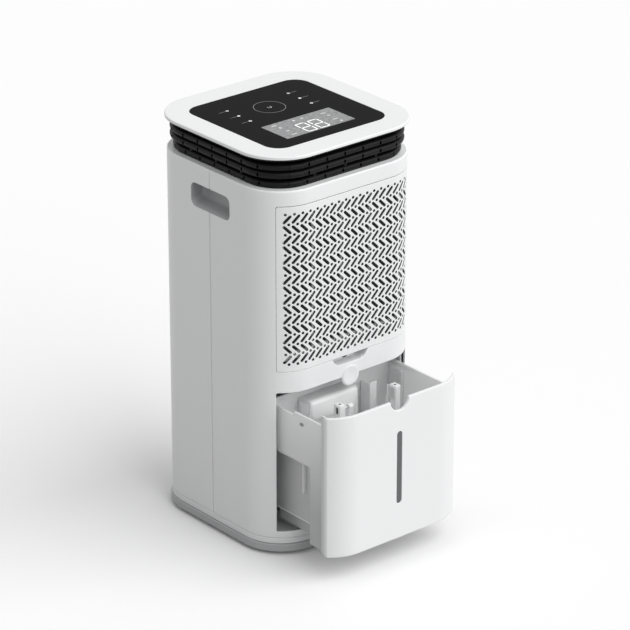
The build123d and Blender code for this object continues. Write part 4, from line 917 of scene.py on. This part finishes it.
panel = roundBox(-edgeU, edgeU, faceLow, faceHigh, face["round"], 5)
dip = math.degrees(math.asin((levels["strip"] - faceHigh) / face["notchR"]))
discBite = arc(0, levels["strip"], face["notchR"], -dip, dip - 180, 24)
panel = spliced(panel, topRight(panel, faceHigh), discBite)
plate("tankFront", panel, [windowLoop(0.0)], straightBack(tankShift), face["thick"], faceEdge,
      grid=cornerGrid(-edgeU, edgeU, faceLow, faceHigh), body="tank", stands=("tank_front",), **shellPart)
plate("levelLens", windowLoop(face["lensGap"]), [], onColumn(tankShift, face["lensIn"]),
      face["lensThick"], face["lensEdge"], finishes["smoke"], body="tank", slot="window_smoke",
      stands=("level_window",))
print("tank front made")

# tank insides: rounded cap of the rear bump, returns, guide plate, ribs, catch, side steps, and thin black
# discs and a strip of painted shade standing for the post holes and a post's slot
tankBin = {"capLow": (-0.0588, -0.1163), "capHigh": (0.0288, -0.0905), "capTop": 0.2083, "capCorner": 0.007,
           "capRound": 0.006, "capTaper": 0.0017, "capTall": 0.030, "capMiddle": -0.015, "taperX": -0.095,
           "taperY": -0.103, "soft": 0.0006, "postX": 0.048, "postY": -0.165, "postTop": 0.2211,
           "postHoleShadeR": 0.0017, "postHoleShadeRise": 0.0001, "postHoleShadeThick": 0.0002, "postHoleShadeEdge": 0.00005}
tankBlocks = {
    "frontReturnLeft": ((-0.1085, -0.2085, 0.0360), (-0.1054, -0.1990, 0.2350), "collar"),
    "frontReturnRight": ((0.1054, -0.2085, 0.0360), (0.1085, -0.1990, 0.2200), "collar"),
    "guidePlate": ((0.048, -0.1145, 0.045), (0.060, -0.1120, 0.205), "tank"),
    "guideWeb": ((0.053, -0.1121, 0.045), (0.055, -0.0897, 0.200), "tank"),
    "wallRib": ((0.0985, -0.1210, 0.153), (0.1026, -0.1150, 0.209), "tank"),
    "wallRibThin": ((0.1005, -0.1090, 0.153), (0.1026, -0.1070, 0.209), "tank"),
    "rimRight": ((0.1027, -0.1405, 0.2120), (0.1050, -0.0870, 0.2190), "tank"),
    "outerRib": ((-0.0980, -0.1500, 0.101), (-0.0928, -0.1478, 0.1485), "white"),
    "outerCatch": ((-0.1066, -0.1590, 0.2045), (-0.1049, -0.1530, 0.2080), "liner"),
    # a thin black strip: painted shade standing for the slot in the left post
    "postSlotShade": ((-0.05265, -0.1668, 0.2085), (-0.0524, -0.1632, 0.2175), "trim"),
}
stepBlocks = {   # right-hand corners; the left ones mirror them
    "stepPanel": ((0.0914, -0.1722, 0.0580), (0.0932, -0.0872, 0.1489), "tank"),
    "stepEdge": ((0.0920, -0.1722, 0.0578), (0.0940, -0.0872, 0.0592), "white"),
    "stepSkirt": ((0.0850, -0.1720, 0.0582), (0.0925, -0.0874, 0.0716), "tank"),
}


# along its front the cap narrows a little downwards
def onBump(u, v, depth):
    share = (depth - tankBin["capRound"]) / (tankBin["capTall"] - tankBin["capRound"])
    ease = tankBin["capTaper"] * min(max(share, 0.0), 1.0)
    x = u - math.copysign(ease, u - tankBin["capMiddle"]) if v < tankBin["taperX"] else u
    return (x, v + ease if v < tankBin["taperY"] else v, tankBin["capTop"] - depth)


(u0, v0), (u1, v1) = tankBin["capLow"], tankBin["capHigh"]
plate("bumpCap", roundBox(u0, u1, v0, v1, tankBin["capCorner"], 6), [], onBump, tankBin["capTall"],
      tankBin["capRound"], finishes["tank"], step=1.0, soft=5, body="tank", slot="tank_grey")
for name, (lowCorner, highCorner, look) in stepBlocks.items():
    (x0, y0, z0), (x1, y1, z1) = lowCorner, highCorner
    tankBlocks[name + "Left"] = ((-x1, y0, z0), (-x0, y1, z1), look)
    tankBlocks[name + "Right"] = (lowCorner, highCorner, look)
for name, (lowCorner, highCorner, look) in tankBlocks.items():
    block(name, lowCorner, highCorner, finishes[look], tankBin["soft"], body="tank", slot="tank_grey")
# thin black discs on the post tops: painted shade standing for the holes
for side in (-1, 1):
    hole = circle(side * tankBin["postX"], tankBin["postY"], tankBin["postHoleShadeR"], 16)
    plate("postHoleShade" + sideName(side), hole, [], onTop(tankBin["postTop"] + tankBin["postHoleShadeRise"]),
          tankBin["postHoleShadeThick"], tankBin["postHoleShadeEdge"], finishes["trim"], step=1.0, soft=1, body="tank",
          slot="trim_black")

# float arm: a round eye beside the left post, a cheek against the right one, and a bar across the float
arm = {"pinDrop": 0.008, "pinR": 0.0013, "pinRoom": 0.0003, "pinLeft": (-0.0525, -0.0265),
       "pinRight": (0.0434, 0.0525), "pinEdge": 0.0003, "eyeR": 0.0038, "eyeX": (-0.0340, -0.0270),
       "eyeEdge": 0.0008, "cheekX": (0.0420, 0.0432), "cheekFront": 0.0055, "cheekBack": -0.1550,
       "cheekTop": 0.0012, "cheekLow": 0.010, "cheekRound": 0.0012, "cheekEdge": 0.0004,
       "barY": (-0.159, -0.153), "barDrop": (0.036, 0.049), "barSoft": 0.0006}
armPart = {"finish": finishes["tank"], "body": "float", "slot": "tank_grey"}
pinU, pinZ = -tankBin["postY"], tankBin["postTop"] - arm["pinDrop"]
armLow = pinZ - arm["barDrop"][1]
armTop = pinZ - arm["barDrop"][0]
barFront, barBack = arm["barY"]
eyeLeft, eyeRight = arm["eyeX"]
cheekLeft, cheekRight = arm["cheekX"]
across, down = tankBin["postY"] - (barFront + barBack) / 2, pinZ - armLow - arm["eyeR"]
pinHole = circle(pinU, pinZ, arm["pinR"] + arm["pinRoom"], 16)
link = pill(pinU + across / 2, pinZ - down / 2, math.hypot(across, down) + 2 * arm["eyeR"],
            2 * arm["eyeR"], math.degrees(math.atan2(-down, across)), 8)
plate("floatArmLeft", link, [pinHole], facingLeft(eyeLeft), eyeRight - eyeLeft, arm["eyeEdge"], step=1.0,
      **armPart)
cheekTop, cheekLow = tankBin["postTop"] - arm["cheekTop"], pinZ - arm["cheekLow"]
cheekFront, cheekBack = pinU + arm["cheekFront"], -arm["cheekBack"]
cheek = [(-barBack, armLow), (-barFront, armLow), (-barFront, cheekLow), (cheekFront, cheekLow),
         (cheekFront, cheekTop), (cheekBack, cheekTop), (cheekBack, cheekLow), (-barBack, cheekLow)]
plate("floatArmRight", eased(cheek, arm["cheekRound"], 3, True), [], facingLeft(cheekLeft),
      cheekRight - cheekLeft, arm["cheekEdge"], step=1.0, **armPart)
block("floatArmBar", (eyeLeft, barFront, armLow), (cheekRight, barBack, armTop), soft=arm["barSoft"],
      stands=("float_arm",), **armPart)
for name, (x0, x1), stood in (("floatPinLeft", arm["pinLeft"], ("float_pins",)),
                              ("floatPinRight", arm["pinRight"], ())):
    plate(name, circle(pinU, pinZ, arm["pinR"], 16), [], facingLeft(x0), x1 - x0, arm["pinEdge"],
          finishes["steel"], step=1.0, body="tank", slot="motor_steel", stands=stood)
print("tank insides made")

# carried-over CAD pieces take these finishes
carried = {
    "tank": ("tank_bin",),
    "foam": ("float_block",),
    "steel": ("float_magnet", "fan_shaft", "fan_motor", "run_capacitor", "casing_screws", "grille_pins"),
    "collar": ("tank_bay",),
    "liner": ("middle_deck", "drip_tray", "fan_scroll"),
    "trim": ("fan_wheel", "tank_switch", "board_box", "cord_gland"),
    "mesh": ("filter_mesh",),
    "fin": ("evaporator", "condenser"),
    "copper": ("accumulator", "refrigerant_pipes"),
    "rubber": ("base_pads", "compressor_grommets"),
    "enamel": ("compressor",),
    "board": ("control_board", "main_board"),
    "lcd": ("display_module",),
    "white": ("drain_outlet", "finger_cup", "filter_frame"),
}
for look, names in carried.items():
    for name in names:
        mesh = nodes[name].data
        mesh.materials.clear()
        mesh.materials.append(finishes[look])
print("carried pieces dressed")
